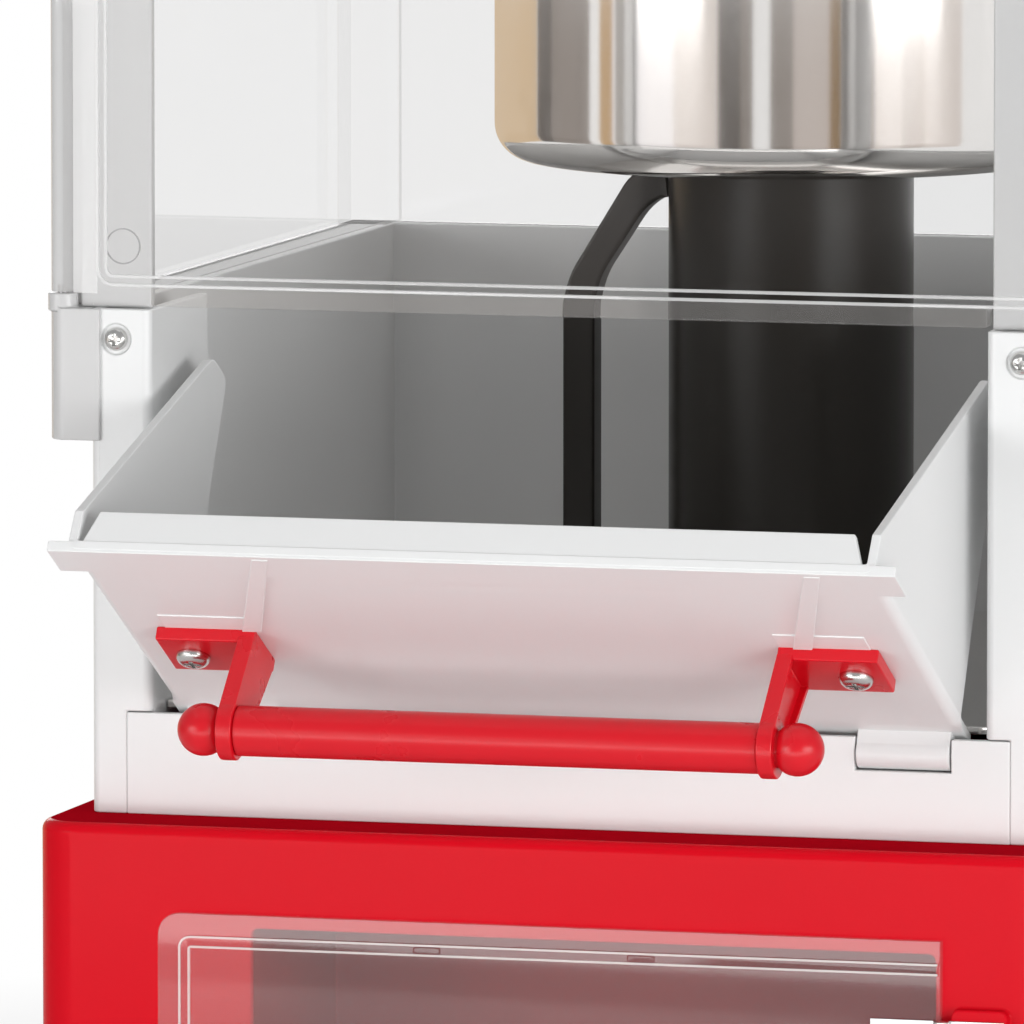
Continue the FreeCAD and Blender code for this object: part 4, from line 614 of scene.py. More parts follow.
for side in (-1, 1):
    near, far = span(side, *NOTCH)
    ledge = block("fascia_ledge", (near - LEDGE_LAP, front + LEDGE_FRONT, notch_low - LEDGE_THICK),
                  (far + LEDGE_LAP, front + LEDGE_BACK, notch_low))
    weld(fascia, ledge)
    for start in (near - BOSS_REACH * MM, far):
        boss_spot = (start, hinge_line.y + BOSS_BACK, hinge_line.z)
        weld(fascia, rod("fascia_boss", BOSS_RADIUS, boss_spot, BOSS_REACH, 0))
even_shading(fascia)
dress(fascia, white_plastic, "cabinet", "front_fascia")
softened("serving_door_pins", 0.2, pin_steel)


# Chamber floor
# A sheet of polished stainless steel that closes the chamber from below. It lies on ledges inside the
# housing.
steel = metal("steel", (0.93, 0.91, 0.89, 1), gloss=0.1)
softened("chamber_floor", 0.2, steel)


# Serving door
# One white moulding, drawn closed about its hinge line in millimetres and then tipped open: a panel that
# turns into a wing at each side, a flange and a short lip on top, a raised field, slanted ribs over the
# handle, and knuckles below that turn on the pins.
def sheet(name, corners, low, high, flat=0):
    """A flat plate: an outline across one axis, drawn from a low to a high level of that axis."""
    def point(corner, level):
        place = list(corner)
        place.insert(flat, level)
        return mm(*place)
    points = [point(corner, low) for corner in corners]
    piece = drawn(name, points)
    bpy.ops.mesh.edge_face_add()
    lift = point(corners[0], high) - points[0]
    bpy.ops.mesh.extrude_region_move(TRANSFORM_OT_translate={"value": lift})
    close_outwards()
    return piece


def taper(piece, chosen, shares, centre):
    """Draws the faces of a piece that a test picks towards a centre."""
    pick_faces(piece, chosen)
    bpy.ops.transform.resize(value=shares, center_override=centre)
    bpy.ops.object.mode_set(mode="OBJECT")


def on_panel(middle):
    """Whether a point lies in the outer face of the closed door's panel."""
    return abs(middle.y - DOOR_FACE * MM) < HAIR


def hang(piece):
    """Tips a piece of the serving door, drawn closed about the hinge line, to where it is at rest."""
    piece.rotation_euler.x = DOOR_TILT
    piece.location = hinge_line
    settle(piece)


DOOR_TILT = math.radians(61.3)
HALF_DOOR = 107.5
DOOR_FACE = 5
DOOR_THICK = 2.5
DOOR_BACK = DOOR_FACE + DOOR_THICK
DOOR_LOW = -3.7
DOOR_CORNER = 3
DOOR_EDGE = 0.35
DOOR_SEAT = 1
WING_LOW = 9
WING_DEPTH = 97.4
WING_HEEL = 23
WING_CORNER = 3
HALF_FLANGE = 112.9
FLANGE_LOW = 98
FLANGE_TOP = 111.7
FLANGE_PROUD = 0.7
FLANGE_SUNK = 0.2
FLANGE_EDGE = 0.3
HALF_LIP = 104.2
LIP_BACK = 16.5
LIP_FALL = 1.9
LIP_THICK = 2.5
LIP_SUNK = 0.1
LIP_TAPER = 0.965
LIP_EDGE = 0.4
HALF_FIELD = 50
FIELD_LOW = 20
FIELD_HIGH = 94
FIELD_RAISE = 0.5
FIELD_CORNER = 3
FIELD_TAPER = 0.9
KNUCKLE = (79, 104)
KNUCKLE_RADIUS = 4
KNUCKLE_EDGE = 0.4
WEB_FRONT = 1.3
WEB_BACK = 0.5
WEB_LOW = 0.2
WEB_HIGH = 3.7
BRACKET_TOP = 60.3
PATCH = (70.5, 95)
PATCH_BELOW = 4
PATCH_ABOVE = 8
PATCH_RAISE = 0.3
SLOPES = ((-71.2, -56), (77, 90.6))
SLOPE_HALF_FOOT = 2.6
SLOPE_HALF_HEAD = 2.2
SLOPE_END = 2
SLOPE_RAISE = 0.9
DETAIL_EDGE = 0.25
wing_outline = [(DOOR_FACE, WING_LOW), (WING_DEPTH, WING_LOW), (WING_DEPTH, WING_HEEL),
                (LIP_BACK, FLANGE_TOP - LIP_FALL), (DOOR_FACE, FLANGE_TOP)]
door = sheet("serving_door_piece", wing_outline, -HALF_DOOR, HALF_DOOR)
drop_faces(door, lambda normal: abs(normal.x) < STRAIGHT and normal.y > -STRAIGHT)
pick_edges(door, lambda middle, run: abs(run.x) > STRAIGHT and on_panel(middle)
           and abs(middle.z - WING_LOW * MM) < HAIR)
bpy.ops.mesh.extrude_region_move(TRANSFORM_OT_translate={"value": mm(0, 0, DOOR_LOW - WING_LOW)})
bpy.ops.object.mode_set(mode="OBJECT")
round_edges(door, DOOR_CORNER, lambda middle, run: abs(run.z) > STRAIGHT and on_panel(middle)
            and middle.z > WING_LOW * MM, segments=5)
apply_modifier(door, "SOLIDIFY", thickness=DOOR_THICK * MM, offset=-1, use_even_offset=True)
round_edges(door, WING_CORNER, lambda middle, run: abs(run.x) > STRAIGHT
            and middle.y > WING_DEPTH * MM - HAIR, segments=4)
break_edges(door, DOOR_EDGE)
flange = block("door_flange", mm(-HALF_FLANGE, DOOR_FACE - FLANGE_PROUD, FLANGE_LOW),
               mm(HALF_FLANGE, DOOR_BACK - FLANGE_SUNK, FLANGE_TOP - FLANGE_SUNK))
lip_outline = [(DOOR_FACE + DOOR_SEAT, FLANGE_TOP - LIP_SUNK), (LIP_BACK, FLANGE_TOP - LIP_FALL),
               (LIP_BACK, FLANGE_TOP - LIP_FALL - LIP_THICK), (DOOR_FACE + DOOR_SEAT, FLANGE_TOP - LIP_THICK)]
lip = sheet("door_lip", lip_outline, -HALF_LIP, HALF_LIP)
taper(lip, lambda normal: normal.y > STRAIGHT, (LIP_TAPER, 1, 1), (0, 0, 0))
field = block("door_field", mm(-HALF_FIELD, DOOR_FACE - FIELD_RAISE, FIELD_LOW),
              mm(HALF_FIELD, DOOR_FACE + DOOR_SEAT, FIELD_HIGH))
round_edges(field, FIELD_CORNER, along(1), segments=5)
field_middle = mm(0, 0, (FIELD_LOW + FIELD_HIGH) / 2)
taper(field, lambda normal: normal.y < -STRAIGHT, (FIELD_TAPER, 1, FIELD_TAPER), field_middle)
weld(door, break_edges(flange, FLANGE_EDGE), break_edges(lip, LIP_EDGE), field)
for side in (-1, 1):
    start, end = span(side, *KNUCKLE)
    knuckle = rod("door_knuckle", KNUCKLE_RADIUS, mm(start, 0, 0), end - start, 0)
    web = block("door_web", mm(start, WEB_FRONT, DOOR_LOW + WEB_LOW), mm(end, DOOR_BACK - WEB_BACK, WEB_HIGH))
    near, far = span(side, *PATCH)
    patch = block("door_patch", mm(near, DOOR_FACE - PATCH_RAISE, BRACKET_TOP - PATCH_BELOW),
                  mm(far, DOOR_FACE + DOOR_SEAT, BRACKET_TOP + PATCH_ABOVE))
    weld(door, break_edges(knuckle, KNUCKLE_EDGE), web, break_edges(patch, DETAIL_EDGE))
for foot_x, head_x in SLOPES:
    slope_outline = [(foot_x - SLOPE_HALF_FOOT, BRACKET_TOP), (foot_x + SLOPE_HALF_FOOT, BRACKET_TOP),
                     (head_x + SLOPE_HALF_HEAD, FLANGE_TOP - SLOPE_END),
                     (head_x - SLOPE_HALF_HEAD, FLANGE_TOP - SLOPE_END)]
    slope = sheet("door_rib", slope_outline, DOOR_FACE - SLOPE_RAISE, DOOR_FACE + DOOR_SEAT, flat=1)
    weld(door, break_edges(slope, DETAIL_EDGE))
even_shading(door)
hang(door)
dress(door, white_plastic, "serving_door", "serving_door")


# Handle
# Two red brackets screwed to the door, each a plate with a channelled arm and a ring, a round bar between
# them and a ball on a short neck at each end. The domed zinc screws have a cross recess.
def domed_screw(name, radius, head, dome):
    """A domed screw head that looks along -Y from the origin, with a cross recess, and its shank."""
    profile = [(0, -head), (radius - dome, -head), *arc((radius - dome, dome - head), dome, -90, 0, 6),
               (radius, 0), (SHANK, 0), (SHANK, SHANK_REACH), (0, SHANK_REACH)]
    piece = turned(name, profile, Vector(), 1, steps=40)
    cross = radius * CROSS_SHARE
    for length, width in ((cross, CROSS_WIDTH), (CROSS_WIDTH, cross)):
        slot = block("screw_slot", mm(-length / 2, -head - CROSS_OVERCUT, -width / 2),
                     mm(length / 2, -head + CROSS_DEPTH, width / 2))
        carve(piece, slot)
    finish_edges(piece, SCREW_EDGE)
    return piece


SHANK = 2
SHANK_REACH = 6
CROSS_SHARE = 1.05
CROSS_WIDTH = 1
CROSS_DEPTH = 1.3
CROSS_OVERCUT = 1
SCREW_EDGE = 0.1
ARM_IN = 70.3
ARM_OUT = 74.6
ARM_SHORT = 2
ARM_END = DOOR_FACE - ARM_SHORT
ARM_EDGE = 0.3
CHANNEL_RIM = 1.7 * MM
CHANNEL_DEPTH = 1.8
PLATE_OUT = 97.2
PLATE_FACE = 1.3
PLATE_LOW = 39.5
BRACKET_EDGE = 0.5
BAR_OUT = 24.1
BAR_UP = 61.8
BAR_RADIUS = 6.6
BAR_CHAMFER = 0.4
SPIGOT = 81.8
SPIGOT_RADIUS = 3.4
RING_RADIUS = 7.8
BALL_RADIUS = 6.9
BALL_MIDDLE = 79.7
NECK_RADIUS = 4.9
NECK_END = 75.4
SCREW_X = 89.4
SCREW_UP = 49.8
handle_red = moulded("handle_red", RED, gloss=0.28, shine=0.4, grain=0.000002, slot="red_plastic")
bar_middle = mm(0, -BAR_OUT, BAR_UP)
for label, side in (("right", 1), ("left", -1)):
    near, far = span(side, ARM_IN, PLATE_OUT)
    bracket = block(f"handle_bracket_{label}_piece", mm(near, PLATE_FACE, PLATE_LOW),
                    mm(far, DOOR_FACE, BRACKET_TOP))
    low, high = span(side, ARM_IN, ARM_OUT)
    arm = sheet("bracket_arm", [(ARM_END, PLATE_LOW), (-BAR_OUT, BAR_UP - RING_RADIUS),
                                (-BAR_OUT, BAR_UP + RING_RADIUS), (ARM_END, BRACKET_TOP)], low, high)
    pick_faces(arm, lambda normal: normal.x * side > STRAIGHT)
    bpy.ops.mesh.inset(thickness=CHANNEL_RIM)
    bpy.ops.mesh.extrude_region_move(TRANSFORM_OT_translate={"value": mm(-CHANNEL_DEPTH * side, 0, 0)})
    bpy.ops.object.mode_set(mode="OBJECT")
    ring = rod("bracket_ring", RING_RADIUS, mm(low, -BAR_OUT, BAR_UP), ARM_OUT - ARM_IN, 0)
    break_edges(bracket, BRACKET_EDGE)
    weld(bracket, break_edges(arm, ARM_EDGE), break_edges(ring, BRACKET_EDGE))
    even_shading(bracket)
    hang(bracket)
    dress(bracket, handle_red, "serving_door", f"handle_bracket_{label}")

half_bar = [(BAR_RADIUS, ARM_IN - BAR_CHAMFER), (BAR_RADIUS - BAR_CHAMFER, ARM_IN), (SPIGOT_RADIUS, ARM_IN),
            (SPIGOT_RADIUS, SPIGOT), (0, SPIGOT)]
bar_profile = [(across, -reach) for across, reach in reversed(half_bar)] + half_bar
bar = turned("handle_bar_piece", bar_profile, bar_middle, 0)
even_shading(bar)
hang(bar)
dress(bar, handle_red, "serving_door", "handle_bar")

balls = []
ball_start = math.degrees(math.asin((NECK_END - BALL_MIDDLE) / BALL_RADIUS))
ball_profile = [(0, ARM_OUT), (NECK_RADIUS, ARM_OUT), (NECK_RADIUS, NECK_END),
                *arc((0, BALL_MIDDLE), BALL_RADIUS, ball_start, 90, 24)]
for side in (-1, 1):
    side_profile = [(across, side * reach) for across, reach in ball_profile]
    balls.append(turned("handle_ball", side_profile, bar_middle, 0, steps=48))
end_balls = joined(balls, "handle_end_balls_piece")
even_shading(end_balls)
hang(end_balls)
dress(end_balls, handle_red, "serving_door", "handle_end_balls")

screw = domed_screw("handle_screw", radius=4.5, head=2.8, dome=2.3)
screws = copies(screw, "handle_screws_piece", [mm(side * SCREW_X, PLATE_FACE, SCREW_UP) for side in (-1, 1)])
hang(screws)
dress(screws, zinc, "serving_door", "handle_screws")


# Cabinet collar and housing screws
# A white plastic skirt, painted pale grey as painted shade, round the housing's top with a rounded nose,
# lapped over the housing's corners, which carries the cabinet and the window's lower pivot bush. Two zinc
# screws sit in the housing's recesses.
NOSE = 5
COLLAR_LAP = 3.1 * MM
COLLAR_GAP = 0.3 * MM
COLLAR_EDGE = 0.4
BUSH_RADIUS = 4
BUSH_HEIGHT = 3.8
BUSH_ROOT = 1
SCREW_INSET = 7 * MM
SCREW_DROP = 8 * MM
RECESS = 0.8 * MM
# painted shade: white plastic made pale grey, for the shade on the collar and on the pillars behind the
# window
shaded_white = moulded("shaded_white", (0.60, 0.60, 0.60, 1), gloss=0.25, drift=0.012, grain=0.000003,
                    slot="white_plastic")
collar_low, collar_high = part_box("cabinet_collar")
pivot_low, pivot_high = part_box("window_pivot_pins")
pivot = (pivot_low + pivot_high) / 2
collar_top = housing_high.z
collar = block("cabinet_collar_piece", (-collar_high.x, collar_low.y, collar_low.z),
               (collar_high.x, collar_high.y, collar_top))
round_edges(collar, NOSE, lambda middle, run: abs(run.z) > STRAIGHT and middle.y < 0, segments=10)
hollow = block("collar_hollow", housing_low + Vector((-COLLAR_GAP, 0, 0)),
               housing_high + Vector((COLLAR_GAP, COLLAR_GAP, OVERCUT)))
half_mouth = housing_high.x + COLLAR_GAP - COLLAR_LAP
front_mouth = block("collar_mouth", (-half_mouth, collar_low.y - OVERCUT, collar_low.z - OVERCUT),
                    (half_mouth, housing_low.y + SEAT, collar_top + OVERCUT))
carve(collar, hollow, front_mouth)
bush_spot = (pivot.x, pivot.y, collar_top - BUSH_ROOT * MM)
weld(collar, rod("collar_bush", BUSH_RADIUS, bush_spot, BUSH_HEIGHT + BUSH_ROOT, 2))
finish_edges(collar, COLLAR_EDGE)
dress(collar, shaded_white, "cabinet", "cabinet_collar")

screw = domed_screw("housing_screw", radius=3.1, head=2.4, dome=1.9)
screw_spots = [Vector((x, housing_low.y + RECESS, collar_top - SCREW_DROP))
               for x in (housing_low.x + SCREW_INSET, housing_high.x - SCREW_INSET)]
dress(copies(screw, "housing_screws_piece", screw_spots), zinc, "cabinet", "housing_screws")


# Pillars and posts
# Moulded uprights that stand on the collar and carry the top frame: white plastic pillars in front, painted
# pale grey as painted shade, each with a broad cover behind the window's edge, and clear posts behind.
softened("front_pillar_right", 0.8, shaded_white)
softened("front_pillar_left", 0.8, shaded_white)
softened("rear_post_right", 0.8, clear_plastic)
softened("rear_post_left", 0.8, clear_plastic)


# Side panes and back panel
# Flat sheets of clear acrylic that close the cabinet at its sides and behind. They stand on the collar
# between the pillars and the posts.
softened("side_pane_right", 0.3, clear_plastic)
softened("side_pane_left", 0.3, clear_plastic)
softened("back_panel", 0.3, clear_plastic)


# Front window
# A clear moulded window that swings on pins at its left edge: a frosted barrel round the pins with a pale
# strip beside it, a flat pane with a double bead round its field, whose pale lines are painted highlights, a
# round moulding mark in the lower left corner and a thick rim between the pillars. Its white knob is turned.
PANE_THICK = 3 * MM
PANE_EDGE = 0.3
RIM_HIGH = 5.2 * MM
RIM_DEEP = 4 * MM
RIM_END_GAP = 0.8 * MM
RIM_EDGE = 0.5
BARREL = 3.1
BARREL_GAP = 0.3
BARREL_EDGE = 0.4
BUSH_ROOM = 0.6
BEAD_INSET = 7.1 * MM
BEAD_WIDE = 3.2
BEAD_LINE = 0.9
BEAD_RAISE = 1
BEAD_CORNER = 5
BEAD_EDGE = 0.3
MARK_IN = 14.5 * MM
MARK_UP = 15.9 * MM
MARK_INNER = 4.4
MARK_OUTER = 4.8
MARK_FRONT = -0.15
MARK_BACK = 0.1
STRIP_GAP = 0.8
STRIP_LAP = 0.4 * MM
STRIP_RAISE = 0.3 * MM
STRIP_EDGE = 0.1
frosted = clear("frosted_plastic", (0.55, 0.55, 0.55, 1), veil=0.75)
rim_plastic = clear("rim_plastic", (0.82, 0.80, 0.78, 1), veil=0.12)
# painted highlight: this pale veil on the two beads stands in for light on a bead's edges; the strip is just
# paler
pale_clear = clear("pale_clear", (0.86, 0.86, 0.86, 1), veil=0.6)
mark_clear = clear("mark_clear", (0.40, 0.40, 0.40, 1), veil=0.6)
window_low, window_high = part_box("front_window")
half_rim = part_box("front_pillar_right")[0].x - RIM_END_GAP
barrel_low = collar_top + (BUSH_HEIGHT + BARREL_GAP) * MM
barrel_right = pivot.x + BARREL * MM
window = block("front_window_piece", (pivot.x + SEAT, front, window_low.z),
               (window_high.x, front + PANE_THICK, window_high.z))
notch_reach = (BUSH_RADIUS + BUSH_ROOM) * MM
notch = block("bush_notch", (pivot.x - notch_reach, pivot.y - notch_reach, window_low.z - OVERCUT),
              (pivot.x + notch_reach, pivot.y + notch_reach, barrel_low))
carve(window, notch)
rim = block("window_rim_piece", (-half_rim, front + HAIR, window_low.z + HAIR),
            (half_rim, front + PANE_THICK + RIM_DEEP, window_low.z + RIM_HIGH))
bead_low = Vector((barrel_right + BEAD_INSET, front - BEAD_RAISE * MM, window_low.z + RIM_HIGH))
bead_high = Vector((window_high.x - BEAD_INSET, front + HAIR, window_high.z - BEAD_INSET))
beads = []
for label, step in (("outer", 0), ("inner", BEAD_WIDE - BEAD_LINE)):
    inwards = mm(step, 0, step)
    bead = block(f"window_bead_{label}", bead_low + inwards, bead_high - inwards)
    round_edges(bead, BEAD_CORNER - step, along(1), segments=8)
    hole = mm(step + BEAD_LINE, -BEAD_RAISE, step + BEAD_LINE)
    bead_inside = block("bead_inside", bead_low + hole, bead_high - hole)
    round_edges(bead_inside, BEAD_CORNER - step - BEAD_LINE, along(1), segments=8)
    carve(bead, bead_inside)
    beads.append(bead)
mark_profile = [(MARK_INNER, MARK_FRONT), (MARK_OUTER, MARK_FRONT), (MARK_OUTER, MARK_BACK),
                (MARK_INNER, MARK_BACK), (MARK_INNER, MARK_FRONT)]
mark = turned("window_mark_piece", mark_profile, (barrel_right + MARK_IN, front, window_low.z + MARK_UP), 1)
strip = block("window_hinge_strip", (barrel_right + STRIP_GAP * MM, front - STRIP_RAISE, barrel_low),
              (bead_low.x + STRIP_LAP, front + HAIR, window_high.z))
barrel = rod("window_barrel_piece", BARREL, (pivot.x, pivot.y, barrel_low),
             (window_high.z - barrel_low) / MM, 2)
for piece, edge, finish in ((window, PANE_EDGE, clear_plastic), (rim, RIM_EDGE, rim_plastic),
                            (beads[0], BEAD_EDGE, pale_clear), (beads[1], BEAD_EDGE, pale_clear),
                            (strip, STRIP_EDGE, pale_clear), (mark, 0, mark_clear),
                            (barrel, BARREL_EDGE, frosted)):
    finish_edges(piece, edge)
    dress(piece, finish, "window", "front_window")
softened("window_pivot_pins", 0.2, pin_steel)
knob("window_knob", grip=7, body="window")


# Top frame, ceiling and roof
# A white moulded frame on the pillars and posts with a flat white sheet on it, under a red moulded roof
# with a rounded crown that laps over both.
softened("top_frame", 0.5, white_plastic)
softened("ceiling_sheet", 0.3, white_plastic)
softened("roof_cap", 0.5, red_plastic)


# Lamp
# A frosted glass bulb that lights the cabinet from above. It is screwed into a black moulded holder, which
# is fixed under the ceiling.
bulb_glass = moulded("bulb_glass", (0.86, 0.84, 0.79, 1), gloss=0.25, drift=0.02)
softened("lamp_holder", 0.8, black_plastic)
softened("lamp_bulb", 0.3, bulb_glass)


# Pedestal and conduit
# A satin black column on the chamber floor that carries the kettle, held by three zinc screws in its foot,
# with two steel clips at its top. A bent conduit beside it takes the heater's wires.
def at_bends(middle, run):
    """A test for the conduit's edges at its two bends."""
    lower = abs(middle.z - bend * MM) < HAIR
    upper = middle.z > bend * MM - SEAT and conduit_low.x * MM + HAIR < middle.x < conduit_high.x * MM - HAIR
    return abs(run.y) > STRAIGHT and (lower or upper)


COLUMN = 33.5
COLUMN_WALL = 2.5
COLUMN_BORE = COLUMN - COLUMN_WALL
COLUMN_ROUND = 0.8
PLINTH_THICK = 3
CHAMFER = 0.6
FILLET = 1.5
SHELF_DROP = 50
SHELF_THICK = 3
SHAFT_HOLE = 4
CLIP_WIDE = 8
CLIP_DEEP = 6
CLIP_HIGH = 1.8
CLIP_DROP = 0.2
CLIP_ROOT = 0.5
CLIP_EDGE = 0.4
CLIP_BEARINGS = (46, -76)
CONDUIT = 9
CONDUIT_CORNER = 7
CONDUIT_EDGE = 1.2
BEND_DROP = 34
shaft_low, shaft_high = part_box("stir_shaft")
pedestal_low, pedestal_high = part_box("kettle_pedestal")
centre = (shaft_low + shaft_high) / 2
plinth = (pedestal_high.x - pedestal_low.x) / MM / 2
pedestal_height = (pedestal_high.z - pedestal_low.z) / MM
shelf = pedestal_height - SHELF_DROP
pedestal_profile = [
    (COLUMN_BORE, 0), (plinth - CHAMFER, 0), (plinth, CHAMFER),
    (plinth, PLINTH_THICK - CHAMFER), (plinth - CHAMFER, PLINTH_THICK),
    *arc((COLUMN + FILLET, PLINTH_THICK + FILLET), FILLET, -90, -180, 4),
    *arc((COLUMN - COLUMN_ROUND, pedestal_height - COLUMN_ROUND), COLUMN_ROUND, 0, 90, 4),
    (COLUMN_BORE, pedestal_height), (COLUMN_BORE, shelf + SHELF_THICK), (SHAFT_HOLE, shelf + SHELF_THICK),
    (SHAFT_HOLE, shelf), (COLUMN_BORE, shelf), (COLUMN_BORE, 0)]
pedestal = turned("kettle_pedestal_piece", pedestal_profile, (centre.x, centre.y, pedestal_low.z), steps=96)
even_shading(pedestal)
dress(pedestal, black_plastic, "cabinet", "kettle_pedestal")
softened("pedestal_screws", 0.3, zinc)

clips = []
clip_top = pedestal_height - CLIP_DROP
for bearing in CLIP_BEARINGS:
    clip = block("kettle_clip", mm(-CLIP_WIDE / 2, -COLUMN - CLIP_DEEP, clip_top - CLIP_HIGH),
                 mm(CLIP_WIDE / 2, CLIP_ROOT - COLUMN, clip_top))
    finish_edges(clip, CLIP_EDGE)
    clip.rotation_euler.z = math.radians(bearing)
    clip.location = (centre.x, centre.y, pedestal_low.z)
    settle(clip)
    clips.append(clip)
dress(joined(clips, "kettle_clips"), zinc, "cabinet")

conduit_low, conduit_high = (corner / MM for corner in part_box("wiring_conduit"))
bend = conduit_high.z - BEND_DROP
conduit_outline = [
    (conduit_high.x, conduit_high.z), (conduit_high.x - CONDUIT, conduit_high.z), (conduit_low.x, bend),
    (conduit_low.x, conduit_low.z), (conduit_low.x + CONDUIT, conduit_low.z), (conduit_low.x + CONDUIT, bend),
    (conduit_high.x - CONDUIT / 2, conduit_high.z - CONDUIT), (conduit_high.x, conduit_high.z - CONDUIT)]
conduit = sheet("wiring_conduit_piece", conduit_outline, conduit_low.y, conduit_high.y, flat=1)
round_edges(conduit, CONDUIT_CORNER, at_bends)
finish_edges(conduit, CONDUIT_EDGE)
dress(conduit, black_plastic, "cabinet", "wiring_conduit")


# Drive and heater
# What turns the stirrer and heats the kettle, inside the pedestal: a gear motor in bare metal, the steel
# shaft that it turns, a dark sheathed heater ring and a small thermostat.
motor_metal = metal("motor_metal", (0.42, 0.42, 0.43, 1), gloss=0.35)
heater_metal = metal("heater_metal", (0.25, 0.21, 0.19, 1), gloss=0.45)
softened("gearbox", 0.4, motor_metal)
softened("stir_motor", 0.4, motor_metal)
softened("stir_shaft", 0.2, pin_steel, "stirrer")
softened("heater_ring", 0, heater_metal)
softened("thermostat", 0.3, motor_metal)


# Kettle, stirrer and lid
# A spun and polished steel pot with a round bottom edge and a rolled rim, a stirrer on the shaft and a lid
# of two hinged leaves on a bridge.
KETTLE = 81
SHEET_STEEL = 1.2
BOTTOM_ROUND = 10
RIM_WIRE = 2.2
TUBE = 6
TUBE_INSIDE = TUBE - SHEET_STEEL
TUBE_HEIGHT = 40
kettle_low, kettle_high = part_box("kettle")
wall_top = (kettle_high.z - kettle_low.z) / MM - RIM_WIRE
rim_turn = math.degrees(math.acos(SHEET_STEEL / 2 / RIM_WIRE))
bottom_centre = (KETTLE - BOTTOM_ROUND, BOTTOM_ROUND)
kettle_profile = [
    (TUBE_INSIDE, 0), *arc(bottom_centre, BOTTOM_ROUND, -90, 0, 12),
    *arc((KETTLE - SHEET_STEEL / 2, wall_top), RIM_WIRE, -rim_turn, 180 + rim_turn, 20),
    *arc(bottom_centre, BOTTOM_ROUND - SHEET_STEEL, 0, -90, 8),
    (TUBE, SHEET_STEEL), (TUBE, TUBE_HEIGHT), (TUBE_INSIDE, TUBE_HEIGHT), (TUBE_INSIDE, 0)]
kettle = turned("kettle_piece", kettle_profile, (centre.x, centre.y, kettle_low.z), steps=160)
even_shading(kettle)
dress(kettle, steel, "cabinet", "kettle")
softened("stirrer", 0.5, steel, "stirrer")
softened("lid_bridge", 0.3, steel)
softened("lid_leaf_right", 0.3, steel, "lid_right")
softened("lid_leaf_left", 0.3, steel, "lid_left")
softened("lid_pins", 0.2, pin_steel)


# Floor, light and camera
# A plain white studio: a pale floor that fades to a white surround, soft lamps, upright cards that only
# polished steel reflects, and a long lens.
def seen(tree):
    """1 for what is seen straight or through glass, 0 for what lights other surfaces or shines in them."""
    path = tree.nodes.new("ShaderNodeLightPath")
    straight = worked_out(tree, "MAXIMUM", path.outputs["Is Camera Ray"], path.outputs["Is Transmission Ray"])
    unscattered = worked_out(tree, "LESS_THAN", path.outputs["Diffuse Depth"], 0.5)
    return worked_out(tree, "MULTIPLY", straight, unscattered)


def softbox(name, spot, aim, width, height, watts, through_glass=True):
    """A large lamp at a spot, turned towards a point, which may be hidden from what looks through glass."""
    data = bpy.data.lights.new(name, "AREA")
    data.energy = watts
    data.shape = "RECTANGLE"
    data.size = width
    data.size_y = height
    lamp = placed(name, data)
    lamp.location = spot
    lamp.visible_camera = False
    lamp.visible_transmission = through_glass
    lamp.rotation_euler = (Vector(aim) - Vector(spot)).to_track_quat("-Z", "Y").to_euler()


def mirror_card(name, start, end, colour):
    """An upright card round the kettle between two bearings from the camera's, seen only by reflection."""
    bpy.ops.mesh.primitive_plane_add(size=1, location=(0, 0, 0))
    card = bpy.context.object
    card.name = name
    corners = []
    for turn in (start, end):
        bearing = BEARING + math.radians(turn)
        out = Vector((math.sin(bearing), -math.cos(bearing), 0)) * CARD_REACH
        corners.append(Vector((centre.x, centre.y, 0)) + out)
    tall = Vector((0, 0, CARD_HIGH))
    for corner, spot in zip(card.data.vertices, [*corners, corners[0] + tall, corners[1] + tall]):
        corner.co = spot
    finish = bpy.data.materials.new(name)
    finish.use_nodes = True
    tree = finish.node_tree
    path = tree.nodes.new("ShaderNodeLightPath")
    through = tree.nodes.new("ShaderNodeBsdfTransparent")
    shade = tree.nodes.new("ShaderNodeEmission")
    shade.inputs["Color"].default_value = colour
    mirrored = worked_out(tree, "GREATER_THAN", path.outputs["Glossy Depth"], 0.5)
    blended(tree, mirrored, through.outputs["BSDF"], shade.outputs["Emission"])
    card.data.materials.append(finish)
    card.visible_shadow = False


LIGHT_LEVEL = 0.43
SEEN_LEVEL = 1
world = bpy.data.worlds.new("studio")
bpy.context.scene.world = world
world.use_nodes = True
tree = world.node_tree
sky = tree.nodes["Background"]
sky.inputs["Color"].default_value = (1, 1, 1, 1)
level = tree.nodes.new("ShaderNodeMapRange")
level.inputs["To Min"].default_value = LIGHT_LEVEL
level.inputs["To Max"].default_value = SEEN_LEVEL
tree.links.new(seen(tree), level.inputs["Value"])
tree.links.new(level.outputs["Result"], sky.inputs["Strength"])

bpy.ops.mesh.primitive_circle_add(vertices=96, radius=6, fill_type="NGON", location=(0, 0, 0))
floor = bpy.context.object
floor.name = "studio_floor"
floor_white = bpy.data.materials.new("floor_white")
floor_white.use_nodes = True
tree = floor_white.node_tree
shader = tree.nodes["Principled BSDF"]
shader.inputs["Base Color"].default_value = (0.86, 0.86, 0.86, 1)
shader.inputs["Roughness"].default_value = 0.8
place = tree.nodes.new("ShaderNodeTexCoord")
distance = tree.nodes.new("ShaderNodeVectorMath")
distance.operation = "LENGTH"
fade = tree.nodes.new("ShaderNodeMapRange")
fade.inputs["From Min"].default_value = 0.25
fade.inputs["From Max"].default_value = 0.75
glow = tree.nodes.new("ShaderNodeEmission")
tree.links.new(place.outputs["Object"], distance.inputs[0])
tree.links.new(distance.outputs["Value"], fade.inputs["Value"])
faded = worked_out(tree, "MULTIPLY", fade.outputs["Result"], seen(tree))
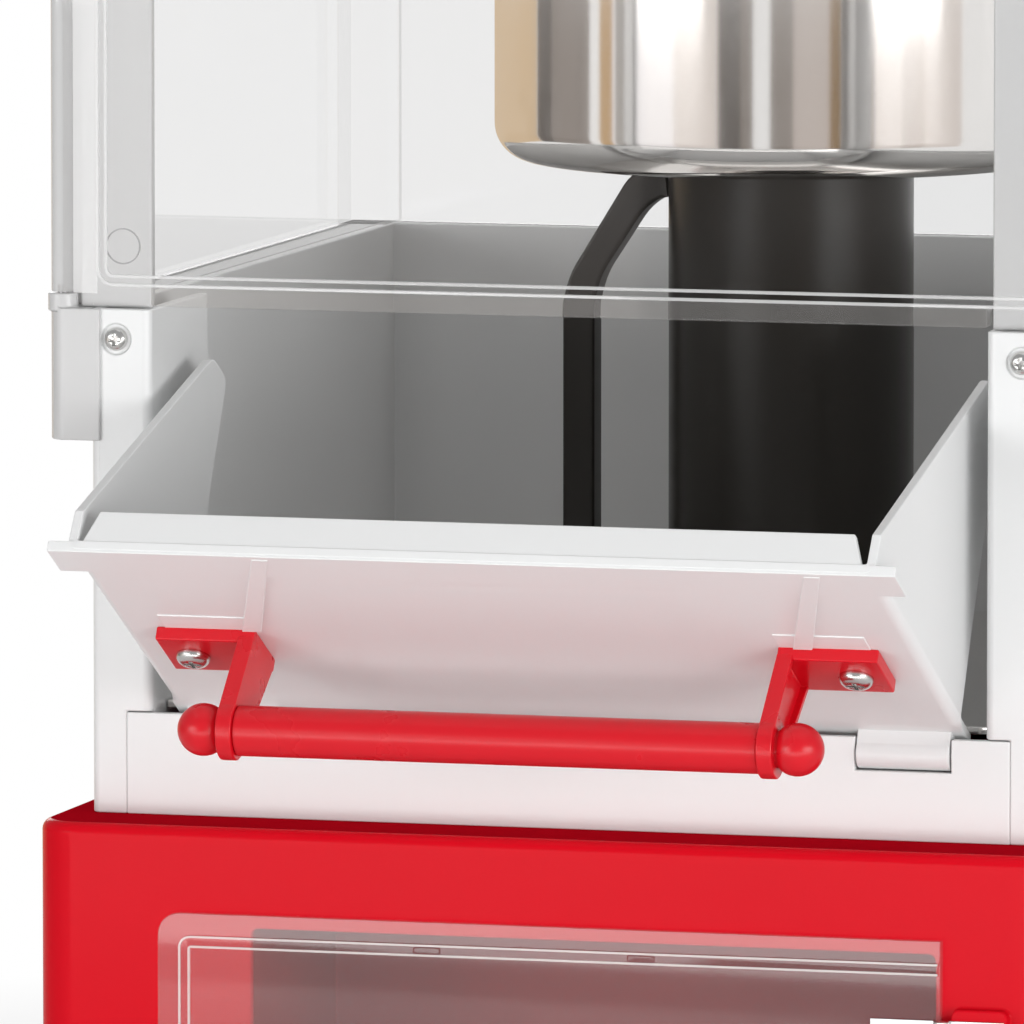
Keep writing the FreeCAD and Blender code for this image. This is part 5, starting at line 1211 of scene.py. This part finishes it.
blended(tree, faded, shader.outputs["BSDF"], glow.outputs["Emission"])
floor.data.materials.append(floor_white)

MIDDLE = (0, 0, 0.25)
softbox("key_lamp", (-1.5, -2.2, 0.32), MIDDLE, 1.4, 0.8, watts=19)
softbox("fill_lamp", (2.0, -1.3, 0.32), MIDDLE, 1.6, 0.8, watts=27)
softbox("top_lamp", (0.1, 0.3, 2.2), (0, 0, 0.3), 1.5, 1.5, watts=7)
softbox("low_lamp", (0.1, -0.85, 0.06), (0, -0.1, 0.22), 1.4, 0.1, watts=1.7, through_glass=False)
softbox("back_lamp", (-0.7, 2.4, 0.7), MIDDLE, 2.0, 1.2, watts=16, through_glass=False)

BEARING = math.radians(15.8)
DIP = math.radians(6.05)
CARD_REACH = 1.2
CARD_HIGH = 0.3
DARK = (0.14, 0.125, 0.115, 1)
DIM = (0.29, 0.255, 0.23, 1)
SOFT = (0.60, 0.53, 0.49, 1)
PALE = (0.78, 0.71, 0.67, 1)
BROWN = (0.30, 0.19, 0.09, 1)
TAN = (0.56, 0.36, 0.17, 1)
CREAM = (0.74, 0.56, 0.37, 1)
BRIGHT = (0.97, 0.94, 0.95, 1)
for shade, *bearings in ((CREAM, -178, -115), (DARK, -114.5, -105), (DIM, -105, -83.5), (TAN, -78.5, -72.5),
                         (BRIGHT, -72.5, -46), (PALE, -46, -28.5), (DARK, -28.5, -20), (DIM, -20, -15.5),
                         (DIM, -9, -0.5), (SOFT, -0.5, 13), (BROWN, 13, 22), (PALE, 22, 26.5),
                         (DIM, 26.5, 30), (PALE, 30, 41), (SOFT, 41, 50), (PALE, 50, 66)):
    mirror_card(f"card_{bearings[0]:.0f}", *bearings, shade)

optics = bpy.data.cameras.new("photo_camera")
optics.sensor_width = 36
optics.lens = 509.8
camera = placed("photo_camera", optics)
camera.location = (1.0151, -3.7356, 0.6360)
camera.rotation_euler = (math.pi / 2 - DIP, 0, BEARING)
bpy.context.scene.camera = camera
bpy.context.scene.view_settings.view_transform = "Standard"
